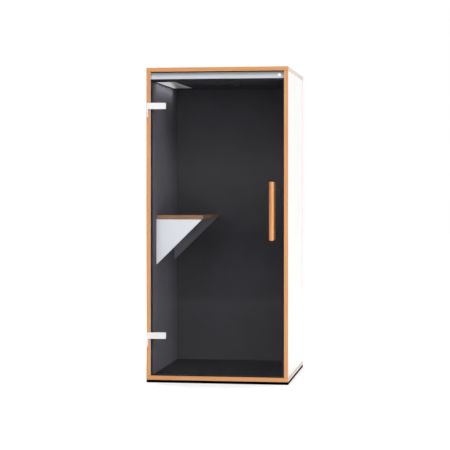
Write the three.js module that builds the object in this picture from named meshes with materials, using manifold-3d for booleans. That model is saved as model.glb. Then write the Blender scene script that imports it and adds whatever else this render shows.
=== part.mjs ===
// Acoustic office pod: a one-person phone booth of laminated plywood panels with a frameless glass door.
// Millimetres, +Z up. +X is to the right of someone facing the door, +Y runs from the door to the back.
// The origin is on the floor, at the centre of the part's bounding box.
import * as THREE from "three";
import { mergeVertices } from "three/addons/utils/BufferGeometryUtils.js";
import Module from "manifold-3d";

const wasm = await Module();
wasm.setup();

// Outer box
const WIDTH = 960; // across the side panels
const DEPTH = 1040; // front edges of the panels to the back of the back panel
const HEIGHT = 2120; // floor to the top of the roof panel
const PANEL = 28; // plywood panels, laminated on both faces
const BASE_HEIGHT = 20; // floor to the underside of the floor panel
const BASE_SETBACK = 1; // base rails behind the edges of the floor panel
const RAIL_WIDTH = 40;
const RAIL_CLEARANCE = 1; // base rails above the floor
const SEAT = 0.3; // gap between two pieces that bear on each other

// Levelling feet
const FOOT_RAIL_GAP = 29; // pad from the base rails
const FOOT_PAD_RADIUS = 20;
const FOOT_PAD_HEIGHT = 7;
const FOOT_STEM_RADIUS = 5;
const FOOT_STEM_COVER = 8; // floor panel left above the threaded stem
const FOOT_STEM_CLEARANCE = 0.4; // stem to its threaded hole
const FOOT_NUT_RADIUS = 9;
const FOOT_NUT_HEIGHT = 6;

// Linings and cavities
const LINING = 12; // felt boards on the walls and the ceiling
const BACK_CAVITY = 40; // air duct and insulation behind the back lining
const ROOF_CAVITY = 49; // fan, lamp and insulation above the ceiling
const CARPET = 4;
const RETURN_SLOT = 20; // air gap between the ceiling panel and the back lining
const DUCT_WIDTH = 220; // air duct between the two slabs of back insulation

// Glass door
const GLASS = 10;
const DOOR_SIDE_GAP = 3; // glass to the side panels
const DOOR_FLOOR_GAP = 4; // glass to the floor panel
const DOOR_HEAD_GAP = 4; // glass to the header
const SEAL_DEPTH = 7; // rubber seals between the glass and the linings
const THRESHOLD_HEIGHT = 11;
const THRESHOLD_DEPTH = 14;

// Header rail above the glass
const HEADER_SETBACK = 28; // header face behind the front edges
const HEADER_TOP_GAP = 4; // shadow gap between the header and the roof panel
const HEADER_WALL = 2.5;
const HEADER_FLANGE = 26; // depth of its two flanges
const HEADER_LIP = 6; // lower flange in front of the face
const INDICATOR_INSET = 34.5; // lens axis from the right side panel
const INDICATOR_RIM = 2.2; // width of the bezel around the lens
const INDICATOR_BEZEL = 2.5; // thickness of the bezel
const INDICATOR_LENS_RADIUS = 8;
const INDICATOR_DOME = 4; // height of the lens in front of the header
const INDICATOR_STEM_RADIUS = 4.5;
const INDICATOR_STEM = 9; // lens stem behind the header face

// Strap hinges
const STRAP_HEIGHT = 42;
const STRAP_LENGTH = 132; // knuckle to free end
const STRAP_THICKNESS = 8;
const KNUCKLE_WALL = 2.2; // around the bush
const KNUCKLE_INSET = 1; // knuckle from the outer face of the left panel
const KNUCKLE_CLEARANCE = 1; // knuckle in front of the panel edge
const KNUCKLE_CAP = 4; // closed top of the knuckle
const HINGE_PIN_RADIUS = 4;
const HINGE_RUNNING_GAP = 0.15; // pin to bush
const BUSH_WALL = 1.4;
const BUSH_FLANGE = 2;
const PIN_ROOT = 5; // pin below the shoulder of the post, in one with it
const POST_WIDTH = 12.5; // from the outer side of the knuckle
const POST_LENGTH = 56; // below the strap, with its curved tip
const POST_TIP = 32; // height of the tip, which curves back to the panel
const POST_TIP_WIDTH = 5;
const DOWEL_RADIUS = 3; // two dowels that hold the post in the panel edge
const DOWEL_DEPTH = 35;
const DOWEL_SPACING = 24;
const DOWEL_DROP = 19; // middle of the dowels below the shoulder of the post
const UPPER_HINGE_DROP = 177; // strap centre below the top of the glass
const LOWER_HINGE_RISE = 265; // strap centre above the bottom of the glass
const CLAMP_THICKNESS = 5;
const CLAMP_LINING_GAP = 7; // clamp plate from the left lining
const BOSS_RADIUS = 6; // two bosses of the clamp plate through the glass
const BOSS_INSET = 18; // from the ends of the clamp plate
const GLASS_HOLE_GAP = 0.6; // boss or stud to its hole in the glass

// Pull handles
const HANDLE_RADIUS = 16;
const HANDLE_LENGTH = 391;
const HANDLE_HEIGHT = 1156.5; // floor to the middle of the handle
const HANDLE_INSET = 76; // handle axis from the free edge of the glass
const HANDLE_END_ROUNDING = 5;
const SPACER_LENGTH = 36; // glass to the near side of the bar
const SPACER_RADIUS = 7;
const SPACER_SEAT = 5; // spacer let into the bar
const SPACER_INSET = 55.5; // spacers from the ends of the bar
const STUD_RADIUS = 4;
const STUD_REACH = 14; // stud behind the glass

// Desk and its gables
const DESK_HEIGHT = 1126; // floor to the desk surface
const DESK_FRONT = 152; // desk edge behind the front of the pod
const DESK_REACH = 321; // out from the wall
const DESK_BACK_GAP = 110; // desk from the back lining
const DESK_THICKNESS = 30;
const CONSOLE_SETBACK = 9; // gable behind the desk's long edge
const CONSOLE_DROP = 306; // wall leg of the triangular gable
const GABLE = 12;
const GABLE_SETBACK = 2; // gables behind the desk's front and back edges
const CLEAT_WIDTH = 25;
const CLEAT_HEIGHT = 40;
const SUPPLY_DEPTH = 46; // power supply box, out from the wall
const SUPPLY_LENGTH = 180;
const SUPPLY_HEIGHT = 70;
const MODULE_WIDTH = 60; // body of the power module
const MODULE_LENGTH = 180;
const MODULE_DEPTH = 44; // below the desk surface
const MODULE_RIM = 5; // cover plate around the body
const MODULE_PLATE = 2.5; // cover plate above the desk
const MODULE_CLEAT_GAP = 19; // body from the wall cleat
const MODULE_BACK_GAP = 60; // body from the desk's back edge

// Ceiling lamp
const LAMP_WIDTH = 142; // outside of the flange
const LAMP_WALL_GAP = 2; // flange from the left lining
const LAMP_FRONT = 110; // flange behind the front of the pod
const LAMP_BACK_GAP = 164; // flange from the back edge of the ceiling panel
const LAMP_RIM = 5; // flange around the tray
const LAMP_FLANGE = 2;
const LAMP_SHEET = 2;
const LAMP_TRAY_HEIGHT = 30;
const DIFFUSER = 3;

// Fan and grilles
const FAN_SIZE = 140; // square housing
const FAN_WALL = 6; // housing outside its bore
const FAN_TIP_GAP = 4;
const FAN_HUB_RADIUS = 24;
const FAN_HUB_HEIGHT = 26;
const FAN_HUB_CAP = 8; // hub above its bearing pin
const FAN_PIN_RADIUS = 4;
const FAN_RUNNING_GAP = 0.4;
const FAN_SPIDER = 5; // thickness of the hub plate and its arms
const FAN_ARMS = 4;
const FAN_ARM_WIDTH = 10;
const FAN_BLADES = 7;
const BLADE_CHORD = 30;
const BLADE_THICKNESS = 2.4;
const BLADE_PITCH = 0.55; // radians
const BLADE_CLEARANCE = 4; // blades above the arms
const VENT_RIM = 11; // round grilles beyond the fan bore
const VENT_PLATE = 3;
const VENT_SLOT = 6;
const VENT_PITCH = 13;
const EXHAUST_WIDTH = 180; // outlet hole through the back panel
const EXHAUST_HEIGHT = 66;
const EXHAUST_RISE = 130; // hole centre above the floor panel
const EXHAUST_RIM = 10;
const EXHAUST_SLOT = 8;
const EXHAUST_PITCH = 13;
const GROMMET_RADIUS = 18;
const GROMMET_RIM = 6;
const GROMMET_FLANGE = 3;
const GROMMET_INSET = 160; // grommet axis from the outer face of the left panel
const GROMMET_RISE = 90; // above the floor panel

const SEGMENTS = 24; // sides of a round piece
const SMALL_SEGMENTS = 16; // sides of a small round piece
const ARC_STEPS = 3; // facets of a rounded end
const MERGE_TOLERANCE = 1e-4;
const OVERCUT = 1; // cutters past the faces that they open

// Planes that several pieces share
const outerX = WIDTH / 2;
const panelX = outerX - PANEL; // inner faces of the side panels
const liningX = panelX - SEAT - LINING; // faces of the side linings
const wallX = -liningX + SEAT; // where the desk pieces meet the left lining
const floorZ = BASE_HEIGHT + PANEL; // top of the floor panel
const roofZ = HEIGHT - PANEL; // underside of the roof panel
const ceilingTopZ = roofZ - ROOF_CAVITY;
const ceilingZ = ceilingTopZ - LINING;
const stopY = GLASS + SEAL_DEPTH; // front edges of the linings
const backPanelY = DEPTH - PANEL;
const backLiningY = backPanelY - BACK_CAVITY - LINING; // face of the back lining
const ceilingBackY = backLiningY - RETURN_SLOT;
const glassX = panelX - DOOR_SIDE_GAP; // both upright edges of the glass
const glassBottomZ = floorZ + DOOR_FLOOR_GAP;
const glassTopZ = ceilingTopZ - DOOR_HEAD_GAP;

// Sizes that follow from the driving ones
const bushRadius = HINGE_PIN_RADIUS + HINGE_RUNNING_GAP + BUSH_WALL;
const knuckleRadius = bushRadius + SEAT + KNUCKLE_WALL;
const hingeX = -outerX + KNUCKLE_INSET + knuckleRadius;
const hingeY = -KNUCKLE_CLEARANCE - knuckleRadius;
const hingeHeights = { upper: glassTopZ - UPPER_HINGE_DROP, lower: glassBottomZ + LOWER_HINGE_RISE };
const strapReach = STRAP_LENGTH - knuckleRadius; // hinge axis to the free end of the strap
const clampStart = -liningX + CLAMP_LINING_GAP - hingeX; // hinge axis to the clamp plate
const postTop = -STRAP_HEIGHT / 2 - BUSH_FLANGE - SEAT; // shoulder of the post from the middle of the strap
const handleX = glassX - HANDLE_INSET;
const handleEnds = { upper: 1, lower: -1 };
const spacerRise = HANDLE_LENGTH / 2 - SPACER_INSET; // spacers above and below the middle of the bar
const frontProjection = SPACER_LENGTH + 2 * HANDLE_RADIUS; // handle in front of the panels
const consoleTopZ = DESK_HEIGHT - DESK_THICKNESS - SEAT;
const consoleReach = DESK_REACH - CONSOLE_SETBACK;
const fanBoreRadius = FAN_SIZE / 2 - FAN_WALL;
const fanPinHeight = FAN_HUB_HEIGHT - FAN_HUB_CAP;
const fanY = DEPTH / 2;
const ventRadius = fanBoreRadius + VENT_RIM;
const footInset = BASE_SETBACK + RAIL_WIDTH + FOOT_RAIL_GAP + FOOT_PAD_RADIUS; // from the outer faces
const footStemTop = BASE_HEIGHT + PANEL - FOOT_STEM_COVER;

// Materials
function finish(color, roughness, metalness = 0) {
  return new THREE.MeshStandardMaterial({ color, roughness, metalness });
}

const laminate = finish(0xf3f3f1, 0.45);
const timber = finish(0xd99b66, 0.55);
const darkLaminate = finish(0x2b2b2e, 0.5);
const whiteGloss = finish(0xf0f1f3, 0.12);
const felt = finish(0x333237, 0.95);
const carpetPile = finish(0x27262a, 0.98);
const foam = finish(0x55565a, 0.95);
const aluminium = finish(0xc9cbd0, 0.35, 0.9);
const satinSteel = finish(0xe8e6e6, 0.3, 0.9);
const blackSteel = finish(0x111113, 0.6, 0.4);
const rubber = finish(0x17181b, 0.8);
const blackPlastic = finish(0x1c1d20, 0.55);
const opal = finish(0xfbfbf8, 0.4);
const clearGlass = finish(0xdfe6e6, 0.05);
clearGlass.transparent = true;
clearGlass.opacity = 0.25;

// A range along one axis.
function span(low, high) {
  return { low, high, size: high - low, middle: (low + high) / 2 };
}

// A range given by its middle and its size.
function about(middle, size) {
  return span(middle - size / 2, middle + size / 2);
}

// A block that fills three ranges.
function block(x, y, z) {
  return new THREE.BoxGeometry(x.size, y.size, z.size).translate(x.middle, y.middle, z.middle);
}

// A round bar along Z at a point.
function barZ(radius, x, y, z, segments = SEGMENTS) {
  const bar = new THREE.CylinderGeometry(radius, radius, z.size, segments);
  return bar.rotateX(Math.PI / 2).translate(x, y, z.middle);
}

// A round bar along Y at a point.
function barY(radius, x, y, z, segments = SMALL_SEGMENTS) {
  return new THREE.CylinderGeometry(radius, radius, y.size, segments).translate(x, y.middle, z);
}

// A quarter of an ellipse as radius and height pairs, from the axis out to its full radius.
function quarter(radius, rise) {
  const pairs = [];
  for (let i = 0; i <= ARC_STEPS; i += 1) {
    const angle = (Math.PI / 2) * (i / ARC_STEPS);
    pairs.push([radius * Math.sin(angle), rise * (1 - Math.cos(angle))]);
  }
  return pairs;
}

// A turned piece about Z, from radius and height pairs that start and end on the axis.
function turned(profile, segments = SEGMENTS) {
  const points = profile.map(([radius, height]) => new THREE.Vector2(radius, height));
  return new THREE.LatheGeometry(points, segments).rotateX(Math.PI / 2);
}

// A prism along Y over an outline of x and z pairs.
function prismY(outline, y) {
  const shape = new THREE.Shape(outline.map(([x, z]) => new THREE.Vector2(x, z)));
  const prism = new THREE.ExtrudeGeometry(shape, { depth: y.size, bevelEnabled: false });
  return prism.rotateX(Math.PI / 2).translate(0, y.high, 0);
}

// A prism along X over an outline of y and z pairs.
function prismX(outline, x) {
  const shape = new THREE.Shape(outline.map(([y, z]) => new THREE.Vector2(y, z)));
  const prism = new THREE.ExtrudeGeometry(shape, { depth: x.size, bevelEnabled: false });
  return prism.rotateX(Math.PI / 2).rotateZ(Math.PI / 2).translate(x.low, 0, 0);
}

// A closed geometry as a manifold solid.
function solid(geometry) {
  const bare = geometry.index ? geometry.toNonIndexed() : geometry.clone();
  bare.deleteAttribute("normal");
  bare.deleteAttribute("uv");
  const merged = mergeVertices(bare, MERGE_TOLERANCE);
  const vertProperties = merged.attributes.position.array;
  const triVerts = new Uint32Array(merged.index.array);
  return new wasm.Manifold(new wasm.Mesh({ numProp: 3, vertProperties, triVerts }));
}

// A manifold solid as a geometry.
function geometryOf(made) {
  const { vertProperties, triVerts } = made.getMesh();
  const geometry = new THREE.BufferGeometry();
  geometry.setAttribute("position", new THREE.BufferAttribute(new Float32Array(vertProperties), 3));
  geometry.setIndex(new THREE.BufferAttribute(new Uint32Array(triVerts), 1));
  const flat = geometry.toNonIndexed();
  flat.computeVertexNormals();
  return flat;
}

// Geometries joined into one.
function joined(...geometries) {
  return geometryOf(geometries.map(solid).reduce((whole, next) => whole.add(next)));
}

// A geometry with others cut out of it.
function carved(geometry, cutters) {
  return geometryOf(cutters.map(solid).reduce((rest, cutter) => rest.subtract(cutter), solid(geometry)));
}

// What two geometries share.
function shared(first, second) {
  return geometryOf(solid(first).intersect(solid(second)));
}

// Adds a named mesh to a group.
function add(group, name, material, geometry) {
  const mesh = new THREE.Mesh(geometry, material);
  mesh.name = name;
  group.add(mesh);
  return mesh;
}

// Adds a plain board, placed by its position.
function board(group, name, material, x, y, z) {
  const mesh = add(group, name, material, new THREE.BoxGeometry(x.size, y.size, z.size));
  mesh.position.set(x.middle, y.middle, z.middle);
  return mesh;
}

// Adds an empty group at a point.
function groupAt(parent, x, y, z) {
  const group = new THREE.Group();
  group.position.set(x, y, z);
  parent.add(group);
  return group;
}

// Places of the four feet.
function footPlaces() {
  const x = outerX - footInset;
  const back = DEPTH - footInset;
  return {
    front_left: [-x, footInset],
    front_right: [x, footInset],
    back_left: [-x, back],
    back_right: [x, back],
  };
}

// Heights of a hinge post's two dowels, from the middle of the strap.
function dowelHeights() {
  const middle = postTop - DOWEL_DROP;
  return [middle + DOWEL_SPACING / 2, middle - DOWEL_SPACING / 2];
}

// Holes for the dowels of both hinge posts in the front edge of the left panel.
function dowelHoles() {
  const holes = [];
  for (const height of Object.values(hingeHeights)) {
    for (const z of dowelHeights()) {
      holes.push(barY(DOWEL_RADIUS + SEAT, hingeX, span(-OVERCUT, DOWEL_DEPTH + SEAT), height + z));
    }
  }
  return holes;
}

// Outlet hole through the back panel and the rebate for its grille.
function exhaustHole() {
  const z = floorZ + EXHAUST_RISE;
  const through = span(backPanelY - OVERCUT, DEPTH + OVERCUT);
  const rebate = span(DEPTH - VENT_PLATE - SEAT, DEPTH + OVERCUT);
  const rim = 2 * (EXHAUST_RIM + SEAT);
  return [
    block(about(0, EXHAUST_WIDTH), through, about(z, EXHAUST_HEIGHT)),
    block(about(0, EXHAUST_WIDTH + rim), rebate, about(z, EXHAUST_HEIGHT + rim)),
  ];
}

// Hole through the back panel for the cable grommet and the rebate for its flange.
function grommetHole() {
  const x = -outerX + GROMMET_INSET;
  const z = floorZ + GROMMET_RISE;
  const through = span(backPanelY - OVERCUT, DEPTH + OVERCUT);
  const rebate = span(DEPTH - GROMMET_FLANGE - SEAT, DEPTH + OVERCUT);
  return [
    barY(GROMMET_RADIUS + SEAT, x, through, z, SEGMENTS),
    barY(GROMMET_RADIUS + GROMMET_RIM + SEAT, x, rebate, z, SEGMENTS),
  ];
}

// Outer panels: floor and roof over the full plan, the sides and the back between them
function makePanels(group) {
  const planX = span(-outerX, outerX);
  const planY = span(0, DEPTH);
  const wallY = span(0, backPanelY - SEAT);
  const wallZ = span(floorZ + SEAT, roofZ - SEAT);

  const stemHoleZ = span(BASE_HEIGHT - OVERCUT, footStemTop + SEAT);
  const stemHoleRadius = FOOT_STEM_RADIUS + FOOT_STEM_CLEARANCE;
  const stemHoles = Object.values(footPlaces()).map(([x, y]) => barZ(stemHoleRadius, x, y, stemHoleZ));
  const floorBlock = block(planX, planY, span(BASE_HEIGHT, floorZ));
  add(group, "floor_panel", laminate, carved(floorBlock, stemHoles));

  const roofBlock = block(planX, planY, span(roofZ, HEIGHT));
  const ventHole = barZ(fanBoreRadius, 0, fanY, span(roofZ - OVERCUT, HEIGHT + OVERCUT));
  const ventRebate = barZ(ventRadius + SEAT, 0, fanY, span(HEIGHT - VENT_PLATE - SEAT, HEIGHT + OVERCUT));
  add(group, "roof_panel", laminate, carved(roofBlock, [ventHole, ventRebate]));

  const leftBlock = block(span(-outerX, -panelX), wallY, wallZ);
  add(group, "left_side_panel", laminate, carved(leftBlock, dowelHoles()));
  board(group, "right_side_panel", laminate, span(panelX, outerX), wallY, wallZ);

  const backBlock = block(planX, span(backPanelY, DEPTH), wallZ);
  add(group, "back_panel", laminate, carved(backBlock, [...exhaustHole(), ...grommetHole()]));
}

// Black rails under the floor panel
function makeBase(group) {
  const z = span(RAIL_CLEARANCE, BASE_HEIGHT - SEAT);
  const x = outerX - BASE_SETBACK;
  const across = span(-x, x);
  const front = span(BASE_SETBACK, BASE_SETBACK + RAIL_WIDTH);
  const back = span(DEPTH - BASE_SETBACK - RAIL_WIDTH, DEPTH - BASE_SETBACK);
  const between = span(front.high + SEAT, back.low - SEAT);
  board(group, "base_rail_front", blackSteel, across, front, z);
  board(group, "base_rail_back", blackSteel, across, back, z);
  board(group, "base_rail_left", blackSteel, span(-x, -x + RAIL_WIDTH), between, z);
  board(group, "base_rail_right", blackSteel, span(x - RAIL_WIDTH, x), between, z);
}

// Levelling feet: a pad, a lock nut and a threaded stem in one piece each
function makeFeet(group) {
  const nutTop = BASE_HEIGHT - SEAT;
  for (const [place, [x, y]] of Object.entries(footPlaces())) {
    const pad = turned([
      [0, 0],
      [FOOT_PAD_RADIUS, 0],
      [FOOT_PAD_RADIUS, FOOT_PAD_HEIGHT / 2],
      [FOOT_STEM_RADIUS, FOOT_PAD_HEIGHT],
      [FOOT_STEM_RADIUS, footStemTop],
      [0, footStemTop],
    ]);
    const nut = barZ(FOOT_NUT_RADIUS, 0, 0, span(nutTop - FOOT_NUT_HEIGHT, nutTop), 6);
    add(groupAt(group, x, y, 0), `foot_${place}`, blackPlastic, joined(pad, nut));
  }
}

// Felt boards on the walls, the insulation behind the back one, and the carpet
function makeLinings(group) {
  const wallZ = span(floorZ + SEAT, ceilingZ - SEAT);
  const sideY = span(stopY, backPanelY - SEAT);
  board(group, "left_lining", felt, span(-liningX - LINING, -liningX), sideY, wallZ);
  board(group, "right_lining", felt, span(liningX, liningX + LINING), sideY, wallZ);

  const innerX = liningX - SEAT;
  board(group, "back_lining", felt, span(-innerX, innerX), span(backLiningY, backLiningY + LINING), wallZ);

  const cavityY = span(backLiningY + LINING + SEAT, backPanelY - SEAT);
  const ductX = DUCT_WIDTH / 2;
  board(group, "back_insulation_left", foam, span(-innerX, -ductX), cavityY, wallZ);
  board(group, "back_insulation_right", foam, span(ductX, innerX), cavityY, wallZ);

  const carpetY = span(GLASS + SEAT + THRESHOLD_DEPTH + SEAT, backLiningY - SEAT);
  const carpetZ = span(floorZ + SEAT, floorZ + SEAT + CARPET);
  board(group, "carpet", carpetPile, span(-innerX, innerX), carpetY, carpetZ);
}

// Felt ceiling and the insulation above it, both open for the lamp and the fan
function makeCeiling(group) {
  const x = span(-panelX + SEAT, panelX - SEAT);
  const sheetZ = span(ceilingZ, ceilingTopZ);
  const sheet = block(x, span(stopY, ceilingBackY), sheetZ);
  const cutZ = span(ceilingZ - OVERCUT, roofZ + OVERCUT);
  const lampBay = block(...lampTray(SEAT), cutZ);
  const fanHole = barZ(fanBoreRadius, 0, fanY, cutZ);
  add(group, "ceiling_panel", felt, carved(sheet, [fanHole, lampBay]));

  const slabY = span(HEADER_SETBACK + HEADER_FLANGE + SEAT, ceilingBackY);
  const slab = block(x, slabY, span(ceilingTopZ + SEAT, roofZ - SEAT));
  const baySize = FAN_SIZE + 2 * SEAT;
  const fanBay = block(about(0, baySize), about(fanY, baySize), cutZ);
  add(group, "roof_insulation", foam, carved(slab, [fanBay, lampBay]));
}

// Rubber seals that the glass closes against
function makeSeals(group) {
  const y = span(GLASS + SEAT, stopY - SEAT);
  const uprightZ = span(floorZ + SEAT, ceilingTopZ - SEAT);
  board(group, "seal_left", rubber, span(-liningX - LINING, -liningX), y, uprightZ);
  board(group, "seal_right", rubber, span(liningX, liningX + LINING), y, uprightZ);

  const across = span(-liningX + SEAT, liningX - SEAT);
  board(group, "seal_top", rubber, across, y, span(ceilingZ + SEAT, ceilingTopZ - SEAT));
  const thresholdY = span(GLASS + SEAT, GLASS + SEAT + THRESHOLD_DEPTH);
  const thresholdZ = span(floorZ + SEAT, floorZ + SEAT + THRESHOLD_HEIGHT);
  board(group, "threshold_seal", rubber, across, thresholdY, thresholdZ);
}

// Aluminium channel above the glass with its indicator
function makeHeader(group) {
  const face = HEADER_SETBACK;
  const back = HEADER_SETBACK + HEADER_FLANGE;
  const z = span(ceilingTopZ + SEAT, roofZ - HEADER_TOP_GAP);
  const channel = [
    [face - HEADER_LIP, z.low],
    [back, z.low],
    [back, z.low + HEADER_WALL],
    [face + HEADER_WALL, z.low + HEADER_WALL],
    [face + HEADER_WALL, z.high - HEADER_WALL],
    [back, z.high - HEADER_WALL],
    [back, z.high],
    [face, z.high],
    [face, z.low + HEADER_WALL],
    [face - HEADER_LIP, z.low + HEADER_WALL],
  ];
  const rail = prismX(channel, span(-panelX + SEAT, panelX - SEAT));
  const lensX = panelX - INDICATOR_INSET;
  const holeY = span(face - OVERCUT, face + HEADER_WALL + OVERCUT);
  const hole = barY(INDICATOR_STEM_RADIUS + SEAT, lensX, holeY, z.middle);
  add(group, "header_rail", aluminium, carved(rail, [hole]));

  const indicator = groupAt(group, lensX, face, z.middle);
  const boreRadius = INDICATOR_LENS_RADIUS + SEAT;
  const bezelY = span(-SEAT - INDICATOR_BEZEL, -SEAT);
  const ring = barY(boreRadius + INDICATOR_RIM, 0, bezelY, 0, SEGMENTS);
  const bore = barY(boreRadius, 0, span(bezelY.low - OVERCUT, bezelY.high + OVERCUT), 0, SEGMENTS);
  add(indicator, "indicator_bezel", satinSteel, carved(ring, [bore]));

  const dome = quarter(INDICATOR_LENS_RADIUS, INDICATOR_DOME - SEAT).reverse();
  const lens = turned([
    [0, -INDICATOR_STEM],
    [INDICATOR_STEM_RADIUS, -INDICATOR_STEM],
    [INDICATOR_STEM_RADIUS, SEAT],
    ...dome.map(([radius, drop]) => [radius, INDICATOR_DOME - drop]),
  ]);
  add(indicator, "indicator_lens", opal, lens).rotation.x = Math.PI / 2;
}

// Hinge post with a round front, whose tip curves back to the panel and narrows, up to a plane along Y.
function hingePost(back) {
  const side = span(-knuckleRadius, POST_WIDTH - knuckleRadius);
  const z = span(postTop - POST_LENGTH, postTop);
  const front = -knuckleRadius;
  const roundY = front + POST_WIDTH / 2;
  const body = joined(barZ(POST_WIDTH / 2, side.middle, roundY, z), block(side, span(roundY, back), z));

  const depths = quarter(back - front, POST_TIP).map(([depth, rise]) => [back - depth, z.low + rise]);
  const profile = prismX([...depths, [front, z.high], [back, z.high]], about(side.middle, 2 * POST_WIDTH));
  const widths = quarter(POST_WIDTH - POST_TIP_WIDTH, POST_TIP);
  const leftSide = widths.map(([reach, rise]) => [side.high - POST_TIP_WIDTH - reach, z.low + rise]);
  const outline = [...leftSide, [side.low, z.high], [side.high, z.high], [side.high, z.low]];
  return shared(shared(body, profile), prismY(outline, span(front - OVERCUT, back + OVERCUT)));
}

// One hinge about the middle of its strap: the post stays on the pod, the rest goes with the door.
function makeHinge(pod, door, place) {
  const fixed = groupAt(pod, hingeX, hingeY, hingeHeights[place]);
  const moving = groupAt(door, hingeX, hingeY, hingeHeights[place]);
  const edgeY = -hingeY; // front edges of the panels and front face of the glass
  const strapZ = about(0, STRAP_HEIGHT);
  const boreTop = strapZ.high - KNUCKLE_CAP;

  const knuckle = barZ(knuckleRadius, 0, 0, strapZ);
  const plateY = span(edgeY - SEAT - STRAP_THICKNESS, edgeY - SEAT);
  const plate = block(span(0, strapReach), plateY, strapZ);
  const bore = barZ(bushRadius + SEAT, 0, 0, span(strapZ.low - OVERCUT, boreTop));
  add(moving, `${place}_hinge_strap`, satinSteel, carved(joined(knuckle, plate), [bore]));

  const bushBottom = strapZ.low - BUSH_FLANGE;
  const flange = barZ(knuckleRadius - SEAT, 0, 0, span(bushBottom, strapZ.low - SEAT));
  const sleeve = barZ(bushRadius, 0, 0, span(bushBottom, boreTop - SEAT));
  const pinBore = barZ(HINGE_PIN_RADIUS + HINGE_RUNNING_GAP, 0, 0, about(0, 2 * STRAP_HEIGHT));
  add(moving, `${place}_hinge_bush`, satinSteel, carved(joined(flange, sleeve), [pinBore]));

  const pinTop = boreTop - 2 * SEAT;
  const pin = barZ(HINGE_PIN_RADIUS, 0, 0, span(postTop - PIN_ROOT, pinTop));
  const dowels = dowelHeights().map((z) => barY(DOWEL_RADIUS, 0, span(0, edgeY + DOWEL_DEPTH), z));
  add(fixed, `${place}_hinge_post`, satinSteel, joined(hingePost(edgeY - SEAT), pin, ...dowels));

  const clampY = span(edgeY + GLASS + SEAT, edgeY + GLASS + SEAT + CLAMP_THICKNESS);
  const clampPlate = block(span(clampStart, strapReach), clampY, strapZ);
  const bosses = bossPlaces().map((x) => barY(BOSS_RADIUS, x, span(edgeY, clampY.middle), 0));
  add(moving, `${place}_hinge_clamp`, satinSteel, joined(clampPlate, ...bosses));
}

// Places of a hinge clamp's two bosses along X, from the hinge axis.
function bossPlaces() {
  return [clampStart + BOSS_INSET, strapReach - BOSS_INSET];
}

// Glass door leaf with the holes for its fittings
function makeGlass(door) {
  const through = span(-OVERCUT, GLASS + OVERCUT);
  const holes = [];
  for (const height of Object.values(hingeHeights)) {
    for (const x of bossPlaces()) {
      holes.push(barY(BOSS_RADIUS + GLASS_HOLE_GAP, hingeX + x, through, height));
    }
  }
  for (const side of Object.values(handleEnds)) {
    holes.push(barY(STUD_RADIUS + GLASS_HOLE_GAP, handleX, through, HANDLE_HEIGHT + side * spacerRise));
  }
  const leaf = block(span(-glassX, glassX), span(0, GLASS), span(glassBottomZ, glassTopZ));
  add(door, "door_glass", clearGlass, carved(leaf, holes));
}

// A round wooden bar along Z about its middle, let in for its two spacers on the +Y side.
function handleBar() {
  const half = HANDLE_LENGTH / 2;
  const flatEnd = HANDLE_RADIUS - HANDLE_END_ROUNDING;
  const rounding = quarter(HANDLE_END_ROUNDING, HANDLE_END_ROUNDING);
  const end = rounding.map(([radius, rise]) => [flatEnd + radius, half - rise]);
  const lowerEnd = end.map(([radius, height]) => [radius, -height]);
  const bar = turned([[0, -half], ...lowerEnd, ...end.reverse(), [0, half]]);
  const seatY = span(HANDLE_RADIUS - SPACER_SEAT - SEAT, HANDLE_RADIUS + OVERCUT);
  const seatRadius = SPACER_RADIUS + SEAT;
  const seats = Object.values(handleEnds).map((side) => barY(seatRadius, 0, seatY, side * spacerRise));
  return carved(bar, seats);
}

// Back-to-back pull handles on spacers through the glass
function makeHandles(door) {
  const group = groupAt(door, handleX, 0, HANDLE_HEIGHT);
  const outer = add(group, "handle_outer_bar", timber, handleBar());
  outer.position.y = -SPACER_LENGTH - HANDLE_RADIUS;
  const inner = add(group, "handle_inner_bar", timber, handleBar());
  inner.rotation.z = Math.PI;
  inner.position.y = GLASS + SPACER_LENGTH + HANDLE_RADIUS;

  const reach = SPACER_LENGTH + SPACER_SEAT;
  for (const [end, side] of Object.entries(handleEnds)) {
    const z = side * spacerRise;
    const outerSpacer = barY(SPACER_RADIUS, 0, span(-reach, -SEAT), z);
    const stud = barY(STUD_RADIUS, 0, span(-SPACER_LENGTH, GLASS + STUD_REACH), z);
    add(group, `handle_outer_spacer_${end}`, satinSteel, joined(outerSpacer, stud));
    const innerSpacer = barY(SPACER_RADIUS, 0, span(GLASS + SEAT, GLASS + reach), z);
    const socket = barY(STUD_RADIUS + SEAT, 0, span(GLASS - OVERCUT, GLASS + STUD_REACH + SEAT), z);
    add(group, `handle_inner_spacer_${end}`, satinSteel, carved(innerSpacer, [socket]));
  }
}

// Desk on the left wall, with the power module let into it
function makeDesk(group, deskY) {
  const deskZ = span(DESK_HEIGHT - DESK_THICKNESS, DESK_HEIGHT);
  const moduleLow = wallX + CLEAT_WIDTH + MODULE_CLEAT_GAP;
  const moduleX = span(moduleLow, moduleLow + MODULE_WIDTH);
  const moduleY = span(deskY.high - MODULE_BACK_GAP - MODULE_LENGTH, deskY.high - MODULE_BACK_GAP);
  const openX = about(moduleX.middle, MODULE_WIDTH + 2 * SEAT);
  const openY = about(moduleY.middle, MODULE_LENGTH + 2 * SEAT);
  const opening = block(openX, openY, span(deskZ.low - OVERCUT, deskZ.high + OVERCUT));
  const top = block(span(wallX, wallX + DESK_REACH), deskY, deskZ);
  add(group, "desk_top", darkLaminate, carved(top, [opening]));

  const plateX = about(moduleX.middle, MODULE_WIDTH + 2 * MODULE_RIM);
  const plateY = about(moduleY.middle, MODULE_LENGTH + 2 * MODULE_RIM);
  const plateZ = span(DESK_HEIGHT + SEAT, DESK_HEIGHT + SEAT + MODULE_PLATE);
  const body = block(moduleX, moduleY, span(DESK_HEIGHT - MODULE_DEPTH, plateZ.middle));
  add(group, "power_module", blackPlastic, joined(body, block(plateX, plateY, plateZ)));
}

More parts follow.
